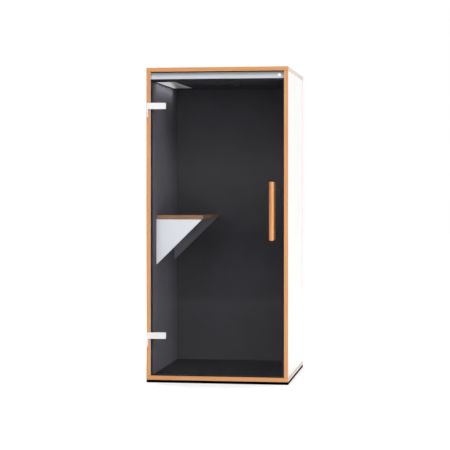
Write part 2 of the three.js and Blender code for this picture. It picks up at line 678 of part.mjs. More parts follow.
// Two triangular gables that carry the desk, with the wall cleat and the power supply between them
function makeConsole(group, deskY) {
  const triangle = [
    [wallX, consoleTopZ],
    [wallX, consoleTopZ - CONSOLE_DROP],
    [wallX + consoleReach, consoleTopZ],
  ];
  const frontY = span(deskY.low + GABLE_SETBACK, deskY.low + GABLE_SETBACK + GABLE);
  add(group, "desk_front_gable", whiteGloss, prismY(triangle, frontY));
  const backY = span(deskY.high - GABLE_SETBACK - GABLE, deskY.high - GABLE_SETBACK);
  add(group, "desk_back_gable", darkLaminate, prismY(triangle, backY));

  const cleatY = span(frontY.high + SEAT, backY.low - SEAT);
  const cleatZ = span(consoleTopZ - CLEAT_HEIGHT, consoleTopZ);
  board(group, "desk_wall_cleat", timber, span(wallX, wallX + CLEAT_WIDTH), cleatY, cleatZ);

  const supplyTop = cleatZ.low - SEAT;
  const supplyZ = span(supplyTop - SUPPLY_HEIGHT, supplyTop);
  const supplyY = about(cleatY.middle, SUPPLY_LENGTH);
  board(group, "power_supply", aluminium, span(wallX, wallX + SUPPLY_DEPTH), supplyY, supplyZ);
}

// Ranges of the lamp tray along X and Y, grown on every side.
function lampTray(grown) {
  const x = span(-liningX + LAMP_WALL_GAP, -liningX + LAMP_WALL_GAP + LAMP_WIDTH);
  const y = span(LAMP_FRONT, ceilingBackY - LAMP_BACK_GAP);
  const more = 2 * (grown - LAMP_RIM);
  return [about(x.middle, x.size + more), about(y.middle, y.size + more)];
}

// Lamp tray with its flange under the ceiling, and the opal cover in it
function makeLamp(group) {
  const flangeZ = span(ceilingZ - SEAT - LAMP_FLANGE, ceilingZ - SEAT);
  const trayZ = span(flangeZ.low, flangeZ.high + LAMP_TRAY_HEIGHT);
  const shell = joined(block(...lampTray(LAMP_RIM), flangeZ), block(...lampTray(0), trayZ));
  const hollow = block(...lampTray(-LAMP_SHEET), span(flangeZ.low - OVERCUT, trayZ.high - LAMP_SHEET));
  add(group, "lamp_housing", aluminium, carved(shell, [hollow]));
  const coverZ = span(flangeZ.low, flangeZ.low + DIFFUSER);
  board(group, "lamp_diffuser", opal, ...lampTray(-LAMP_SHEET - SEAT), coverZ);
}

// Square fan housing with the spider that carries the bearing pin
function makeFanHousing(group) {
  const height = ROOF_CAVITY - 2 * SEAT;
  const square = about(0, FAN_SIZE);
  const bore = barZ(fanBoreRadius, 0, 0, span(-OVERCUT, height + OVERCUT));
  const shell = carved(block(square, square, span(0, height)), [bore]);
  const spiderZ = span(0, FAN_SPIDER);
  const hubPlate = barZ(FAN_HUB_RADIUS, 0, 0, spiderZ);
  const pin = barZ(FAN_PIN_RADIUS, 0, 0, span(0, FAN_SPIDER + fanPinHeight), SMALL_SEGMENTS);
  const arms = [];
  for (let i = 0; i < FAN_ARMS; i += 1) {
    const arm = block(span(0, fanBoreRadius + FAN_WALL / 2), about(0, FAN_ARM_WIDTH), spiderZ);
    arms.push(arm.rotateZ((2 * Math.PI * i) / FAN_ARMS));
  }
  add(group, "fan_housing", blackPlastic, joined(shell, hubPlate, pin, ...arms));
}

// Fan wheel that turns on the bearing pin
function makeFanRotor(group) {
  const hubLow = FAN_SPIDER + FAN_RUNNING_GAP;
  const hub = barZ(FAN_HUB_RADIUS, 0, 0, span(hubLow, hubLow + FAN_HUB_HEIGHT));
  const tip = fanBoreRadius - FAN_TIP_GAP;
  const bladeHeight = BLADE_CHORD * Math.sin(BLADE_PITCH) + BLADE_THICKNESS * Math.cos(BLADE_PITCH);
  const bladeZ = FAN_SPIDER + BLADE_CLEARANCE + bladeHeight / 2;
  const blades = [];
  for (let i = 0; i < FAN_BLADES; i += 1) {
    const blade = block(span(FAN_HUB_RADIUS / 2, tip), about(0, BLADE_CHORD), about(0, BLADE_THICKNESS));
    const turn = (2 * Math.PI * i) / FAN_BLADES;
    blades.push(blade.rotateX(BLADE_PITCH).rotateZ(turn).translate(0, 0, bladeZ));
  }
  const sweep = barZ(tip, 0, 0, about(bladeZ, 2 * (bladeHeight + FAN_HUB_HEIGHT)));
  const wheel = shared(joined(hub, ...blades), sweep);
  const socketZ = span(0, FAN_SPIDER + fanPinHeight + FAN_RUNNING_GAP);
  const socket = barZ(FAN_PIN_RADIUS + FAN_RUNNING_GAP, 0, 0, socketZ, SMALL_SEGMENTS);
  add(group, "fan_rotor", blackPlastic, carved(wheel, [socket]));
}

// A round plate along Z with parallel slots.
function ventPlate() {
  const open = fanBoreRadius - VENT_SLOT;
  const count = Math.floor((open - VENT_SLOT / 2) / VENT_PITCH);
  const through = span(-OVERCUT, VENT_PLATE + OVERCUT);
  const slots = [];
  for (let i = -count; i <= count; i += 1) {
    const farEdge = Math.abs(i) * VENT_PITCH + VENT_SLOT / 2;
    const chord = 2 * Math.sqrt(open ** 2 - farEdge ** 2);
    slots.push(block(about(0, chord), about(i * VENT_PITCH, VENT_SLOT), through));
  }
  return carved(barZ(ventRadius, 0, 0, span(0, VENT_PLATE)), slots);
}

// Grilles below and above the fan
function makeFanGrilles(group) {
  const below = add(group, "ceiling_grille", blackPlastic, ventPlate());
  below.position.set(0, fanY, ceilingZ - SEAT - VENT_PLATE);
  const above = add(group, "roof_grille", aluminium, ventPlate());
  above.position.set(0, fanY, HEIGHT - VENT_PLATE);
}

// Outlet grille, flush in the back panel
function makeExhaust(group) {
  const y = span(DEPTH - VENT_PLATE, DEPTH);
  const z = floorZ + EXHAUST_RISE;
  const through = span(y.low - OVERCUT, y.high + OVERCUT);
  const count = Math.floor((EXHAUST_HEIGHT - EXHAUST_SLOT) / 2 / EXHAUST_PITCH);
  const slots = [];
  for (let i = -count; i <= count; i += 1) {
    slots.push(block(about(0, EXHAUST_WIDTH), through, about(z + i * EXHAUST_PITCH, EXHAUST_SLOT)));
  }
  const rim = 2 * EXHAUST_RIM;
  const plate = block(about(0, EXHAUST_WIDTH + rim), y, about(z, EXHAUST_HEIGHT + rim));
  add(group, "exhaust_grille", aluminium, carved(plate, slots));
}

// Closed rubber grommet for the mains lead, flush in the back panel
function makeGrommet(group) {
  const place = groupAt(group, -outerX + GROMMET_INSET, 0, floorZ + GROMMET_RISE);
  const sleeve = barY(GROMMET_RADIUS, 0, span(backPanelY, DEPTH), 0, SEGMENTS);
  const flange = barY(GROMMET_RADIUS + GROMMET_RIM, 0, span(DEPTH - GROMMET_FLANGE, DEPTH), 0, SEGMENTS);
  add(place, "cable_grommet", rubber, joined(sleeve, flange));
}

const part = new THREE.Group();
const pod = groupAt(part, 0, -(DEPTH - frontProjection) / 2, 0);
const door = groupAt(pod, 0, 0, 0);
const fan = groupAt(pod, 0, fanY, ceilingTopZ + SEAT);
const deskSpan = span(DESK_FRONT, backLiningY - DESK_BACK_GAP);
makePanels(pod);
makeBase(pod);
makeFeet(pod);
makeLinings(pod);
makeCeiling(pod);
makeSeals(pod);
makeHeader(pod);
makeGlass(door);
Object.keys(hingeHeights).forEach((place) => makeHinge(pod, door, place));
makeHandles(door);
makeDesk(pod, deskSpan);
makeConsole(pod, deskSpan);
makeLamp(pod);
makeFanHousing(fan);
makeFanRotor(fan);
makeFanGrilles(pod);
makeExhaust(pod);
makeGrommet(pod);
export default part;
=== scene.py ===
"""Acoustic office pod, dressed for the render: laminated panels, a frameless glass door and a felt cabin.

Metres, +Z up. +X is to the right of someone facing the door, +Y runs from the door to the back.
"""
import math

import bpy
import numpy as np
from bpy.props import FloatProperty, FloatVectorProperty, IntProperty, PointerProperty
from bpy.types import Operator, Panel, PropertyGroup
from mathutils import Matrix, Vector


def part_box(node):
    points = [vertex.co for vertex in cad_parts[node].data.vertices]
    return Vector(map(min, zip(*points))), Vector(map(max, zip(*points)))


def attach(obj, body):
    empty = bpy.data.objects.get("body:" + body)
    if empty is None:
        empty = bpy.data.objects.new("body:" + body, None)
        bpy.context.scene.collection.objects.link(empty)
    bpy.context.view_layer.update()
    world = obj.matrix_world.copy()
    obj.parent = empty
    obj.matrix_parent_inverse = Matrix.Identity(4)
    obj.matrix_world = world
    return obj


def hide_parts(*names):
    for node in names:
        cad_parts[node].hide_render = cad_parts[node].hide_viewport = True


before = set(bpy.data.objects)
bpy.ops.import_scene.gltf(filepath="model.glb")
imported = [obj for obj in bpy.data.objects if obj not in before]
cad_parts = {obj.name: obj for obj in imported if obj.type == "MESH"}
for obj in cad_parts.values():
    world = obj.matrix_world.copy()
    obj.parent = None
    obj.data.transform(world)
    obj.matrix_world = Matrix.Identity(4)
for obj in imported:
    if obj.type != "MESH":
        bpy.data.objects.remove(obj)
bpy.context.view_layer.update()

bl_info = {
    "name": "Acoustic Office Pod",
    "version": (1, 0, 0),
    "blender": (4, 5, 0),
    "location": "3D View > Sidebar > Pod",
    "description": "Dresses the pod's frame with its finished pieces and sets the studio around it",
    "category": "Object",
}

PLANES = {"x": (1, 2), "y": (2, 0), "z": (0, 1)}  # the two axes across each axis, in turning order
MM = 0.001
QUARTER, FULL = math.pi / 2, 2 * math.pi  # turns
LEAD = 0.0004  # straight run beside a rounding, which keeps the flat beside it flat in shading
CUT_RIM = 0.0004  # rounding at the cut ends of the rubber strips
PIN_RIM = 0.0005  # rounding at the ends of pins, studs and grille bars
KNUCKLE = 0.00805  # radius of the hinges' knuckles
PIN = 0.004  # radius of the hinge pins and the handle studs
SPACER = 0.007  # radius of the handle spacers


# Properties


def paint(red, green, blue):
    """Scene-linear colour of a display colour from 0 to 255."""
    share = np.array([red, green, blue]) / 255
    return tuple(np.where(share <= 0.04045, share / 12.92, ((share + 0.055) / 1.055) ** 2.4))


def colour(name, description, *display):
    """A colour property with its default as a display colour."""
    return FloatVectorProperty(
        name=name, description=description, subtype="COLOR", size=3, min=0.0, max=1.0,
        default=paint(*display),
    )


def length(name, description, millimetres):
    """A length property with its default in millimetres."""
    return FloatProperty(
        name=name, description=description, unit="LENGTH", min=0.0, precision=4, default=millimetres * MM
    )


def amount(name, description, default):
    """A plain number property."""
    return FloatProperty(name=name, description=description, min=0.0, default=default)


class PodSizes(PropertyGroup):
    """Small sizes of the finished pieces."""

    panel_arris: length("Panel arris", "Rounding along the edges of the laminated panels", 0.8)
    sheet: length("Laminate sheet", "Thickness of the laminate on a panel", 0.5)
    veneer: length("Veneer", "Thickness of one ply of the plywood", 1.9)
    lipping: length("Lipping", "Depth of the solid wood along the front edges", 5.0)
    felt_edge: length("Felt edge", "Rounding along the edges of the felt boards", 2.5)
    metal_edge: length("Metal edge", "Rounding along the edges of the metal fittings", 1.0)
    glass_arris: length("Glass arris", "Polished rounding along the edges of the glass", 0.8)
    gable_edge: length("Gable edge", "Rounding along the edges of the desk's gables", 1.0)
    desk_edge: length("Desk edge", "Rounding along the edges of the desk top", 1.5)
    carpet_loop: length("Carpet loop", "Spacing of the loops of the carpet", 3.6)
    thread: length("Thread", "Pitch of the thread on the levelling feet", 1.5)
    screw: length("Screw head", "Radius of the screw heads in the roof and the back", 4.5)
    facets: IntProperty(name="Facets", description="Facets of a round piece", min=12, max=128, default=64)


class PodColours(PropertyGroup):
    """Colours of the finishes."""

    laminate: colour("Laminate", "White outer faces of the panels", 242, 242, 241)
    inner_face: colour("Inner face", "Charcoal inner faces of floor, roof and back", 38, 37, 40)
    # White laminate of the side panels' inner faces, greyed as painted shade.
    inner_side: colour("Inner side", "Pale grey inner faces of the side panels", 204, 205, 208)
    ply_light: colour("Light ply", "Plies with their grain along the edge", 227, 213, 206)
    ply_dark: colour("Dark ply", "Plies that show their end grain", 206, 188, 178)
    lipping_light: colour("Light lipping", "Solid wood along the front edges", 216, 156, 104)
    lipping_dark: colour("Dark lipping", "Darker grain of the front edges", 196, 133, 82)
    # The desk's plies are darker than the front lipping, partly as darker wood and partly as painted shade
    # of the cabin.
    desk_light: colour("Light desk edge", "Light plies in the desk's edges", 158, 116, 84)
    desk_dark: colour("Dark desk edge", "Dark plies in the desk's edges", 122, 87, 60)
    timber_light: colour("Light timber", "Early wood of the handles", 219, 156, 102)
    timber_dark: colour("Dark timber", "Late wood of the handles", 172, 107, 60)
    desk: colour("Desk laminate", "Charcoal face of the desk", 58, 57, 61)
    gable: colour("Gable", "White gloss of the front gable", 231, 231, 234)
    felt: colour("Felt", "Ground of the felt boards", 84, 82, 88)
    felt_fibre: colour("Felt fibre", "Pale fibres in the felt", 130, 127, 136)
    carpet: colour("Carpet", "Carpet pile", 46, 42, 50)
    foam: colour("Foam", "Insulation slabs", 92, 93, 98)
    aluminium: colour("Aluminium", "Header, grilles and lamp tray", 231, 233, 239)
    steel: colour("Satin steel", "Hinges and handle spacers", 250, 246, 246)
    black_steel: colour("Black steel", "Powder-coated base rails", 3, 3, 4)
    rubber: colour("Rubber", "Seals and grommet", 27, 28, 32)
    plastic: colour("Black plastic", "Fan, feet and power module", 34, 35, 38)
    opal: colour("Opal", "Lamp cover and indicator lens", 250, 249, 252)
    glass: colour("Glass", "Clear door glass", 250, 251, 252)
    glass_edge: colour("Glass edge", "Tint along the edges of the glass", 146, 188, 176)


class PodStudio(PropertyGroup):
    """Light and camera."""

    key: amount("Key light", "Power of the large lamp at the right of the door, in watts", 1150.0)
    fill: amount("Fill light", "Power of the high lamp ahead of the door, in watts", 810.0)
    low: amount("Low light", "Power of the low wide lamp before the sill, in watts", 24.0)
    facing: amount("Front light", "Power of the lamp that faces the door, in watts", 110.0)
    side: amount("Side light", "Power of the lamp at the right side, in watts", 170.0)
    top: amount("Top light", "Power of the lamp above, in watts", 60.0)
    rear: amount("Rear light", "Power of the lamp behind the left side, in watts", 420.0)
    ambient: amount("Ambient", "Strength of the world on the object", 0.25)
    backdrop: amount("Backdrop", "Strength of the world behind the object, where 1 is white", 1.0)
    front: amount("Dark front", "Strength of the world that the glass mirrors", 0.04)
    glow: amount("Glow", "Strength of the band at eye level that the glass mirrors", 0.5)
    floor_lift: amount("Floor lift", "Light added to the floor where it is seen", 0.5)
    cover: amount("Lamp cover", "Strength of the lit cover in the ceiling", 0.55)
    cabin: amount("Cabin lamp", "Power of the lamp in the cabin's ceiling, in watts", 0.58)
    lens: FloatProperty(name="Lens", description="Focal length", unit="CAMERA", default=122.48)
    shift: FloatProperty(name="Shift", description="Vertical shift of the lens", default=-0.0901)
    turn: FloatProperty(
        name="Turn", description="Camera's turn to the left", unit="ROTATION", default=0.1464
    )
    place: FloatVectorProperty(
        name="Place", description="Where the camera stands", subtype="TRANSLATION", size=3,
        default=(1.5484, -10.611, 1.3341),
    )


def sizes():
    """The sizes as they are set."""
    return bpy.context.scene.pod_sizes


def tint(name, share=1.0):
    """One of the colours, darker or lighter by a share."""
    return tuple(part * share for part in getattr(bpy.context.scene.pod_colours, name))


# Finishes


def arithmetic(operation, reflected=False):
    """A method of Signal that adds one Math node. Where it is reflected, the other value comes first."""

    def added(self, *others):
        values = (*others, self) if reflected else (self, *others)
        return self.nodes.node("ShaderNodeMath", {"operation": operation}, dict(enumerate(values)))

    return added


class Signal:
    """A socket in a node tree. Arithmetic on it adds Math nodes."""

    def __init__(self, nodes, socket):
        self.nodes = nodes
        self.socket = socket

    def out(self, name):
        """Another output of the same node."""
        return Signal(self.nodes, self.socket.node.outputs[name])

    __add__, __radd__ = arithmetic("ADD"), arithmetic("ADD", True)
    __sub__, __rsub__ = arithmetic("SUBTRACT"), arithmetic("SUBTRACT", True)
    __mul__, __rmul__ = arithmetic("MULTIPLY"), arithmetic("MULTIPLY", True)
    __truediv__, __rtruediv__ = arithmetic("DIVIDE"), arithmetic("DIVIDE", True)
    __pow__, __rpow__ = arithmetic("POWER"), arithmetic("POWER", True)
    __gt__, __lt__ = arithmetic("GREATER_THAN"), arithmetic("LESS_THAN")
    __abs__ = arithmetic("ABSOLUTE")
    larger = arithmetic("MAXIMUM")
    floor = arithmetic("FLOOR")
    fraction = arithmetic("FRACT")
    sine = arithmetic("SINE")
    root = arithmetic("SQRT")


class Nodes:
    """The node tree of a material or a world under way, cleared but for its output."""

    def __init__(self, owner, output):
        owner.use_nodes = True
        self.tree = owner.node_tree
        self.tree.nodes.clear()
        self.output = self.tree.nodes.new(output)

    def node(self, kind, settings=None, sockets=None, output=0):
        """A node of one kind: its settings first, then the values or links of its sockets."""
        node = self.tree.nodes.new(kind)
        for key, value in (settings or {}).items():
            setattr(node, key, value)
        self.feed(node, sockets or {})
        return Signal(self, node.outputs[output])

    def feed(self, node, sockets):
        """Values and links for the sockets of a node."""
        for key, value in sockets.items():
            socket = node.inputs[key]
            if isinstance(value, Signal):
                self.tree.links.new(value.socket, socket)
            elif socket.type == "RGBA":
                socket.default_value = (*value, 1.0)
            else:
                socket.default_value = value

    def surface(self, shader):
        """Leads a shader to the output."""
        self.tree.links.new(shader.socket, self.output.inputs["Surface"])

    def split(self, space):
        """The three coordinates of a space."""
        point = self.node("ShaderNodeTexCoord").out(space)
        parts = self.node("ShaderNodeSeparateXYZ", None, {0: point})
        return parts.out("X"), parts.out("Y"), parts.out("Z")

    def sight(self):
        """1 for rays that see a thing directly or through the pane, and 1 for rays that see it mirrored.

        Light that a pane mirrors from within has a glossy bounce behind it, which tells it from light that
        comes through the pane.
        """
        path = self.node("ShaderNodeLightPath")
        within = path.out("Is Transmission Ray") * (path.out("Glossy Depth") > 0.5)
        direct = path.out("Is Camera Ray").larger(path.out("Is Transmission Ray") - within)
        return direct, path.out("Is Glossy Ray").larger(within)


class Finish(Nodes):
    """A material under way: one Principled shader, and the nodes that feed it."""

    def __init__(self, name):
        self.material = bpy.data.materials.new(name)
        super().__init__(self.material, "ShaderNodeOutputMaterial")
        self.shader = self.node("ShaderNodeBsdfPrincipled")
        self.surface(self.shader)

    def set(self, sockets):
        """Values and links for the Principled shader."""
        self.feed(self.shader.socket.node, sockets)

    def scaled(self, per_metre):
        """Object coordinates times a count per metre, one for all the axes or one for each."""
        counts = per_metre if isinstance(per_metre, tuple) else (per_metre,) * 3
        point = self.node("ShaderNodeTexCoord").out("Object")
        return self.node("ShaderNodeVectorMath", {"operation": "MULTIPLY"}, {0: point, 1: counts})

    def noise(self, per_metre, detail=2.0, roughness=0.5):
        """Noise with so many cells per metre."""
        return self.node("ShaderNodeTexNoise", None, {
            "Vector": self.scaled(per_metre), "Scale": 1.0, "Detail": detail, "Roughness": roughness,
        })

    def cells(self, per_metre, jitter=1.0):
        """Distance to the nearest of scattered points, so many per metre."""
        sockets = {"Vector": self.scaled(per_metre), "Scale": 1.0, "Randomness": jitter}
        return self.node("ShaderNodeTexVoronoi", None, sockets)

    def ramp(self, value, low, high):
        """0 below low, 1 above high and smooth between them."""
        sockets = {"Value": value, "From Min": low, "From Max": high}
        return self.node("ShaderNodeMapRange", {"interpolation_type": "SMOOTHSTEP"}, sockets)

    def mix(self, share, first, second):
        """A blend of two colours."""
        settings = {"data_type": "RGBA", "clamp_factor": True}
        return self.node("ShaderNodeMix", settings, {0: share, 6: first, 7: second}, 2)

    def bump(self, height, rise, strength=0.5):
        """Relief of a height from 0 to 1 that rises so many metres."""
        sockets = {"Height": height, "Distance": rise, "Strength": strength}
        self.set({"Normal": self.node("ShaderNodeBump", None, sockets)})


def made(name, make, *arguments):
    """A new material, from one of the functions below."""
    finish = Finish(name)
    make(finish, *arguments)
    return finish.material


def drawn(axis, along, across):
    """Counts per metre for a grain that is drawn out along an axis, or pressed together along it."""
    return tuple(along if each == axis else across for each in "xyz")


def laminated(finish, node, axis, faces, plies, sheet, lipped=False):
    """Plywood with a sheet of laminate on both faces.

    The depth below the low face tells sheet from ply, and one ply from the next. Where the board is lipped,
    the core is solid wood along its front, with the grain drawn out along the edge.
    """
    low, high = box_of(node)
    along = "xyz".index(axis)
    place, thickness = finish.split("Object"), high[along] - low[along]
    depth = place[along] - low[along]
    core = (depth > sheet) * (depth < thickness - sheet)
    stack = depth / sizes().veneer
    end_grain = (stack.floor() * 0.5).fraction() * 2
    glue = abs(stack.fraction() - 0.5) > 0.45
    streak = finish.noise(drawn(axis, 700, 9), 3, 0.6)
    pores = finish.noise(900, 2, 0.6)
    tone = end_grain * 0.55 + glue * 0.35 + (streak - 0.5) * 1.1 + (pores - 0.5) * end_grain * 0.8
    wood = finish.mix(tone, *map(tint, plies))
    if lipped:
        grain = {"x": "z", "z": "x"}[axis]
        figure = finish.noise(drawn(grain, 2.5, 90), 3, 0.6)
        vessels = finish.ramp(finish.noise(drawn(grain, 5, 420), 3, 0.7), 0.5, 0.75)
        tone = vessels * 0.55 + (figure - 0.5) * 1.5 + 0.3
        solid = finish.mix(tone, tint("lipping_light"), tint("lipping_dark"))
        wood = finish.mix(place[1] < low[1] + sizes().lipping, wood, solid)
    dust = finish.noise(5, 3, 0.55)
    ground = finish.mix(depth > thickness / 2, *map(tint, faces))
    skin = finish.mix(dust * 0.06, ground, (0, 0, 0))
    finish.set({
        "Base Color": finish.mix(core, skin, wood),
        "Roughness": 0.4 + core * 0.16 + (dust - 0.5) * 0.1,
        "Specular IOR Level": 0.3,
    })
    finish.bump(finish.noise(1600, 1) * (1 - core) + streak * core * 3, 0.00006)


def timber(finish, heart, depth=1.0, painted_shade_span=None):
    """Wood: growth rings about a line beside the piece, wavering with height, and pores along the grain.

    Where two values of x are given, painted shade makes the piece darker on its left, below the first, and
    lighter on its right, past the second, as if lit from the right.
    """
    x, y, _ = finish.split("Object")
    ring_width = 0.0042
    across = ((x - heart[0]) ** 2 + (y - heart[1]) ** 2).root() + finish.noise((14, 14, 3)) * 0.006
    ring = (across * (FULL / ring_width)).sine() * 0.5 + 0.5
    pores = finish.ramp(finish.noise((1100, 1100, 24), 2, 0.6), 0.56, 0.7)
    figure = finish.noise((120, 120, 7), 3, 0.6)
    tone = ring * ring * 0.6 + pores * 0.35 + (figure - 0.5) * 1.1
    if painted_shade_span is not None:
        tone = tone + 0.5 - finish.ramp(x, *painted_shade_span) * 0.8
    finish.set({
        "Base Color": finish.mix(tone, tint("timber_light", depth), tint("timber_dark", depth)),
        "Roughness": 0.42 + pores * 0.2 + (figure - 0.5) * 0.12,
        "Coat Weight": 0.12,
        "Coat Roughness": 0.3,
    })
    finish.bump(1 - pores - ring * 0.25, 0.00012)


def felt(finish, depth):
    """Pressed felt: fine fibres in two tones, with a slow change of density."""
    fibre = finish.noise(520, 5, 0.7)
    speck = finish.ramp(finish.noise(1500, 2, 0.6), 0.6, 0.72)
    ground = finish.mix(finish.noise(7, 3), tint("felt", 0.8 * depth), tint("felt", depth))
    tone = finish.ramp(fibre, 0.42, 0.75) * 0.4 + speck * 0.3
    finish.set({
        "Base Color": finish.mix(tone, ground, tint("felt_fibre", depth)),
        "Roughness": 0.9 + fibre * 0.1,
        "Specular IOR Level": 0.0,
    })
    finish.bump(fibre + speck * 0.5, 0.0005, 0.4)


def carpet_pile(finish):
    """Loop pile: a round loop at each cell, darker between the loops."""
    loop = 1 - finish.cells(1 / sizes().carpet_loop, 0.6)
    yarn = finish.noise(700, 3, 0.6)
    worn = finish.noise(4, 3)
    tone = finish.ramp(loop, 0.2, 0.9) * 0.7 + (yarn - 0.5) * 0.8 + (worn - 0.5) * 0.5
    finish.set({
        "Base Color": finish.mix(tone, tint("carpet", 0.45), tint("carpet", 1.25)),
        "Roughness": 0.97,
        "Specular IOR Level": 0.1,
    })
    finish.bump(loop + yarn * 0.3, 0.0018, 0.8)


def foam_slab(finish):
    """Open foam: scattered pores of two sizes."""
    large, small = finish.cells(260), finish.cells(900)
    finish.set({
        "Base Color": finish.mix(large * 0.7 + small * 0.5, tint("foam", 0.55), tint("foam")),
        "Roughness": 0.96,
    })
    finish.bump(large + small * 0.5, 0.0015, 0.7)


def brushed(finish, metal, along, roughness, metallic=1.0, painted_shade=None):
    """Brushed metal: fine lines along one axis, in roughness and relief, over slow smudges.

    Where two heights are given, it darkens from the first to the second: a painted shade that stands in for
    the shadow of the roof's overhang on the recessed header.
    """
    lines = finish.noise(drawn(along, 7, 1500), 3, 0.6)
    smudge = finish.noise(11, 3)
    tone = finish.mix(lines * 0.7 + smudge * 0.3, tint(metal, 0.9), tint(metal))
    if painted_shade is not None:
        # painted shade: darker towards the top of the recess
        tone = finish.mix(finish.ramp(finish.split("Object")[2], *painted_shade), tone, tint(metal, 0.45))
    finish.set({
        "Base Color": tone,
        "Metallic": metallic,
        "Roughness": roughness + (lines - 0.5) * 0.16 + (smudge - 0.5) * 0.1,
    })
    finish.bump(lines, 0.00003, 0.4)


def powder_coat(finish, paint_name, share=1.0, gloss=0.5):
    """Powder coat: a soft orange peel with dust in its hollows."""
    peel = finish.noise(850)
    dust = finish.noise(9, 4, 0.6)
    finish.set({
        "Base Color": finish.mix(dust, tint(paint_name, share), tint(paint_name, share * 1.8)),
        "Roughness": 0.5 + (dust - 0.5) * 0.2 + (peel - 0.5) * 0.1,
        "Specular IOR Level": gloss,
    })
    finish.bump(peel, 0.00012)


def soft_rubber(finish):
    """Rubber: matt, with a faint bloom."""
    bloom = finish.noise(40, 4, 0.65)
    finish.set({
        "Base Color": finish.mix(finish.ramp(bloom, 0.35, 0.8), tint("rubber"), tint("rubber", 1.8)),
        "Roughness": 0.62 + (bloom - 0.5) * 0.25,
        "Specular IOR Level": 0.35,
    })
    finish.bump(finish.noise(1300), 0.00008)


def moulded(finish, share=1.0):
    """Moulded plastic: a fine spark-eroded texture."""
    grain = finish.cells(1000)
    haze = finish.noise(25, 3)
    finish.set({
        "Base Color": finish.mix(haze, tint("plastic", share * 0.85), tint("plastic", share * 1.15)),
        "Roughness": 0.46 + (haze - 0.5) * 0.16 + grain * 0.08,
    })
    finish.bump(grain, 0.0001)


def gloss_white(finish):
    """Polished lacquer: a clear coat over white, with a long faint waviness."""
    haze = finish.noise(60, 3)
    finish.set({
        "Base Color": finish.mix(haze, tint("gable", 0.97), tint("gable")),
        "Roughness": 0.16 + haze * 0.06,
        "Coat Weight": 0.6,
        "Coat Roughness": 0.04,
    })
    finish.bump(finish.noise(9), 0.0006, 0.25)


def lens_opal(finish):
    """Opal plastic with light behind it, a little weaker in its grain."""
    grain = finish.noise(600)
    finish.set({
        "Base Color": finish.mix(grain, tint("opal", 0.96), tint("opal")),
        "Roughness": 0.38 + (grain - 0.5) * 0.1,
        "Emission Color": finish.mix(grain, tint("opal", 0.94), tint("opal")),
        "Emission Strength": 0.9,
    })
    finish.bump(grain, 0.00005, 0.3)


def lit_cover(finish):
    """Opal cover over a strip of diodes: brightest beside the wall and the door, fading out across it."""
    x, y, _ = finish.split("Object")
    low, high = box_of("lamp_diffuser")
    width, depth = (high - low)[:2]
    across, along = (x - low[0]) / width, (y - low[1]) / depth
    fade = finish.ramp(across + along * 0.7, 0.62, 0.96)
    rise = finish.ramp(across, 0.5, 1.0) * 0.16
    grain = finish.noise(600)
    level = (1 - fade * 0.86 + rise) * (grain * 0.1 + 0.95)
    finish.set({
        "Base Color": finish.mix(grain, tint("opal", 0.3), tint("opal", 0.34)),
        "Roughness": 0.5 + (grain - 0.5) * 0.1,
        "Specular IOR Level": 0.2,
        "Emission Color": finish.mix(level, (0, 0, 0), tint("opal")),
        "Emission Strength": bpy.context.scene.pod_studio.cover,
    })
    finish.bump(grain, 0.00005, 0.3)


def smooth_laminate(finish):
    """Charcoal laminate by itself: satin, with a fine peel and slow smudges."""
    smudge = finish.noise(8, 4, 0.6)
    finish.set({
        "Base Color": finish.mix(smudge, tint("desk", 4.8), tint("desk", 5.7)),
        "Roughness": 0.3 + (smudge - 0.5) * 0.16,
    })
    finish.bump(finish.noise(1400, 1), 0.00005, 0.4)


def clear_glass(finish):
    """Clear glass with greenish edges. Light on its way to the cabin passes straight through."""
    x, _, z = finish.split("Object")
    low, high = box_of("door_glass")
    middle, inner = (low + high) / 2, (high - low) / 2 - 0.0006
    edge = (abs(x - middle[0]) > inner[0]).larger(abs(z - middle[2]) > inner[2])
    finish.set({
        "Base Color": finish.mix(edge, tint("glass"), tint("glass_edge")),
        "Roughness": 0.0,
        "IOR": 1.3,
        "Transmission Weight": 1.0,
    })
    path = finish.node("ShaderNodeLightPath")
    passing = path.out("Is Shadow Ray").larger(path.out("Is Diffuse Ray"))
    clear = finish.node("ShaderNodeBsdfTransparent", None, {"Color": tint("glass")})
    finish.surface(finish.node("ShaderNodeMixShader", None, {0: passing, 1: finish.shader, 2: clear}))


FINISHES = {
    # The felt boards take lit and shaded copies of one felt: painted light and shade, brighter on the side
    # linings and darker on the back and the ceiling.
    "felt": (felt, 0.69),
    "side_felt": (felt, 1.4),
    "ceiling_felt": (felt, 0.75),
    "carpet": (carpet_pile,),
    "foam": (foam_slab,),
    "grille_aluminium": (brushed, "aluminium", "x", 0.42),
    "satin_steel": (brushed, "steel", "x", 0.36, 0.2),
    "bar_steel": (brushed, "steel", "z", 0.3, 0.3),
    "black_steel": (powder_coat, "black_steel", 1.0, 0.0),
    "screw_white": (powder_coat, "laminate", 0.93),
    "rubber": (soft_rubber,),
    "black_plastic": (moulded,),
    "ceiling_plastic": (moulded, 0.5),
    "socket_plastic": (moulded, 2.2),
    "gloss_white": (gloss_white,),
    "lit_cover": (lit_cover,),
    "smooth_laminate": (smooth_laminate,),
    "lens_opal": (lens_opal,),
    "bench_wood": (timber, (-0.30, 0.9)),
    "clear_glass": (clear_glass,),
}


def finish_of(finish):
    """A finish by name, made when it is first asked for. A material is handed on as it is."""
    if isinstance(finish, bpy.types.Material):
        return finish
    name = f"{finish}_finish"
    return bpy.data.materials.get(name) or made(name, *FINISHES[finish])


# Shapes


def unit(vectors):
    """Vectors over their lengths."""
    return vectors / np.linalg.norm(vectors, axis=-1, keepdims=True)


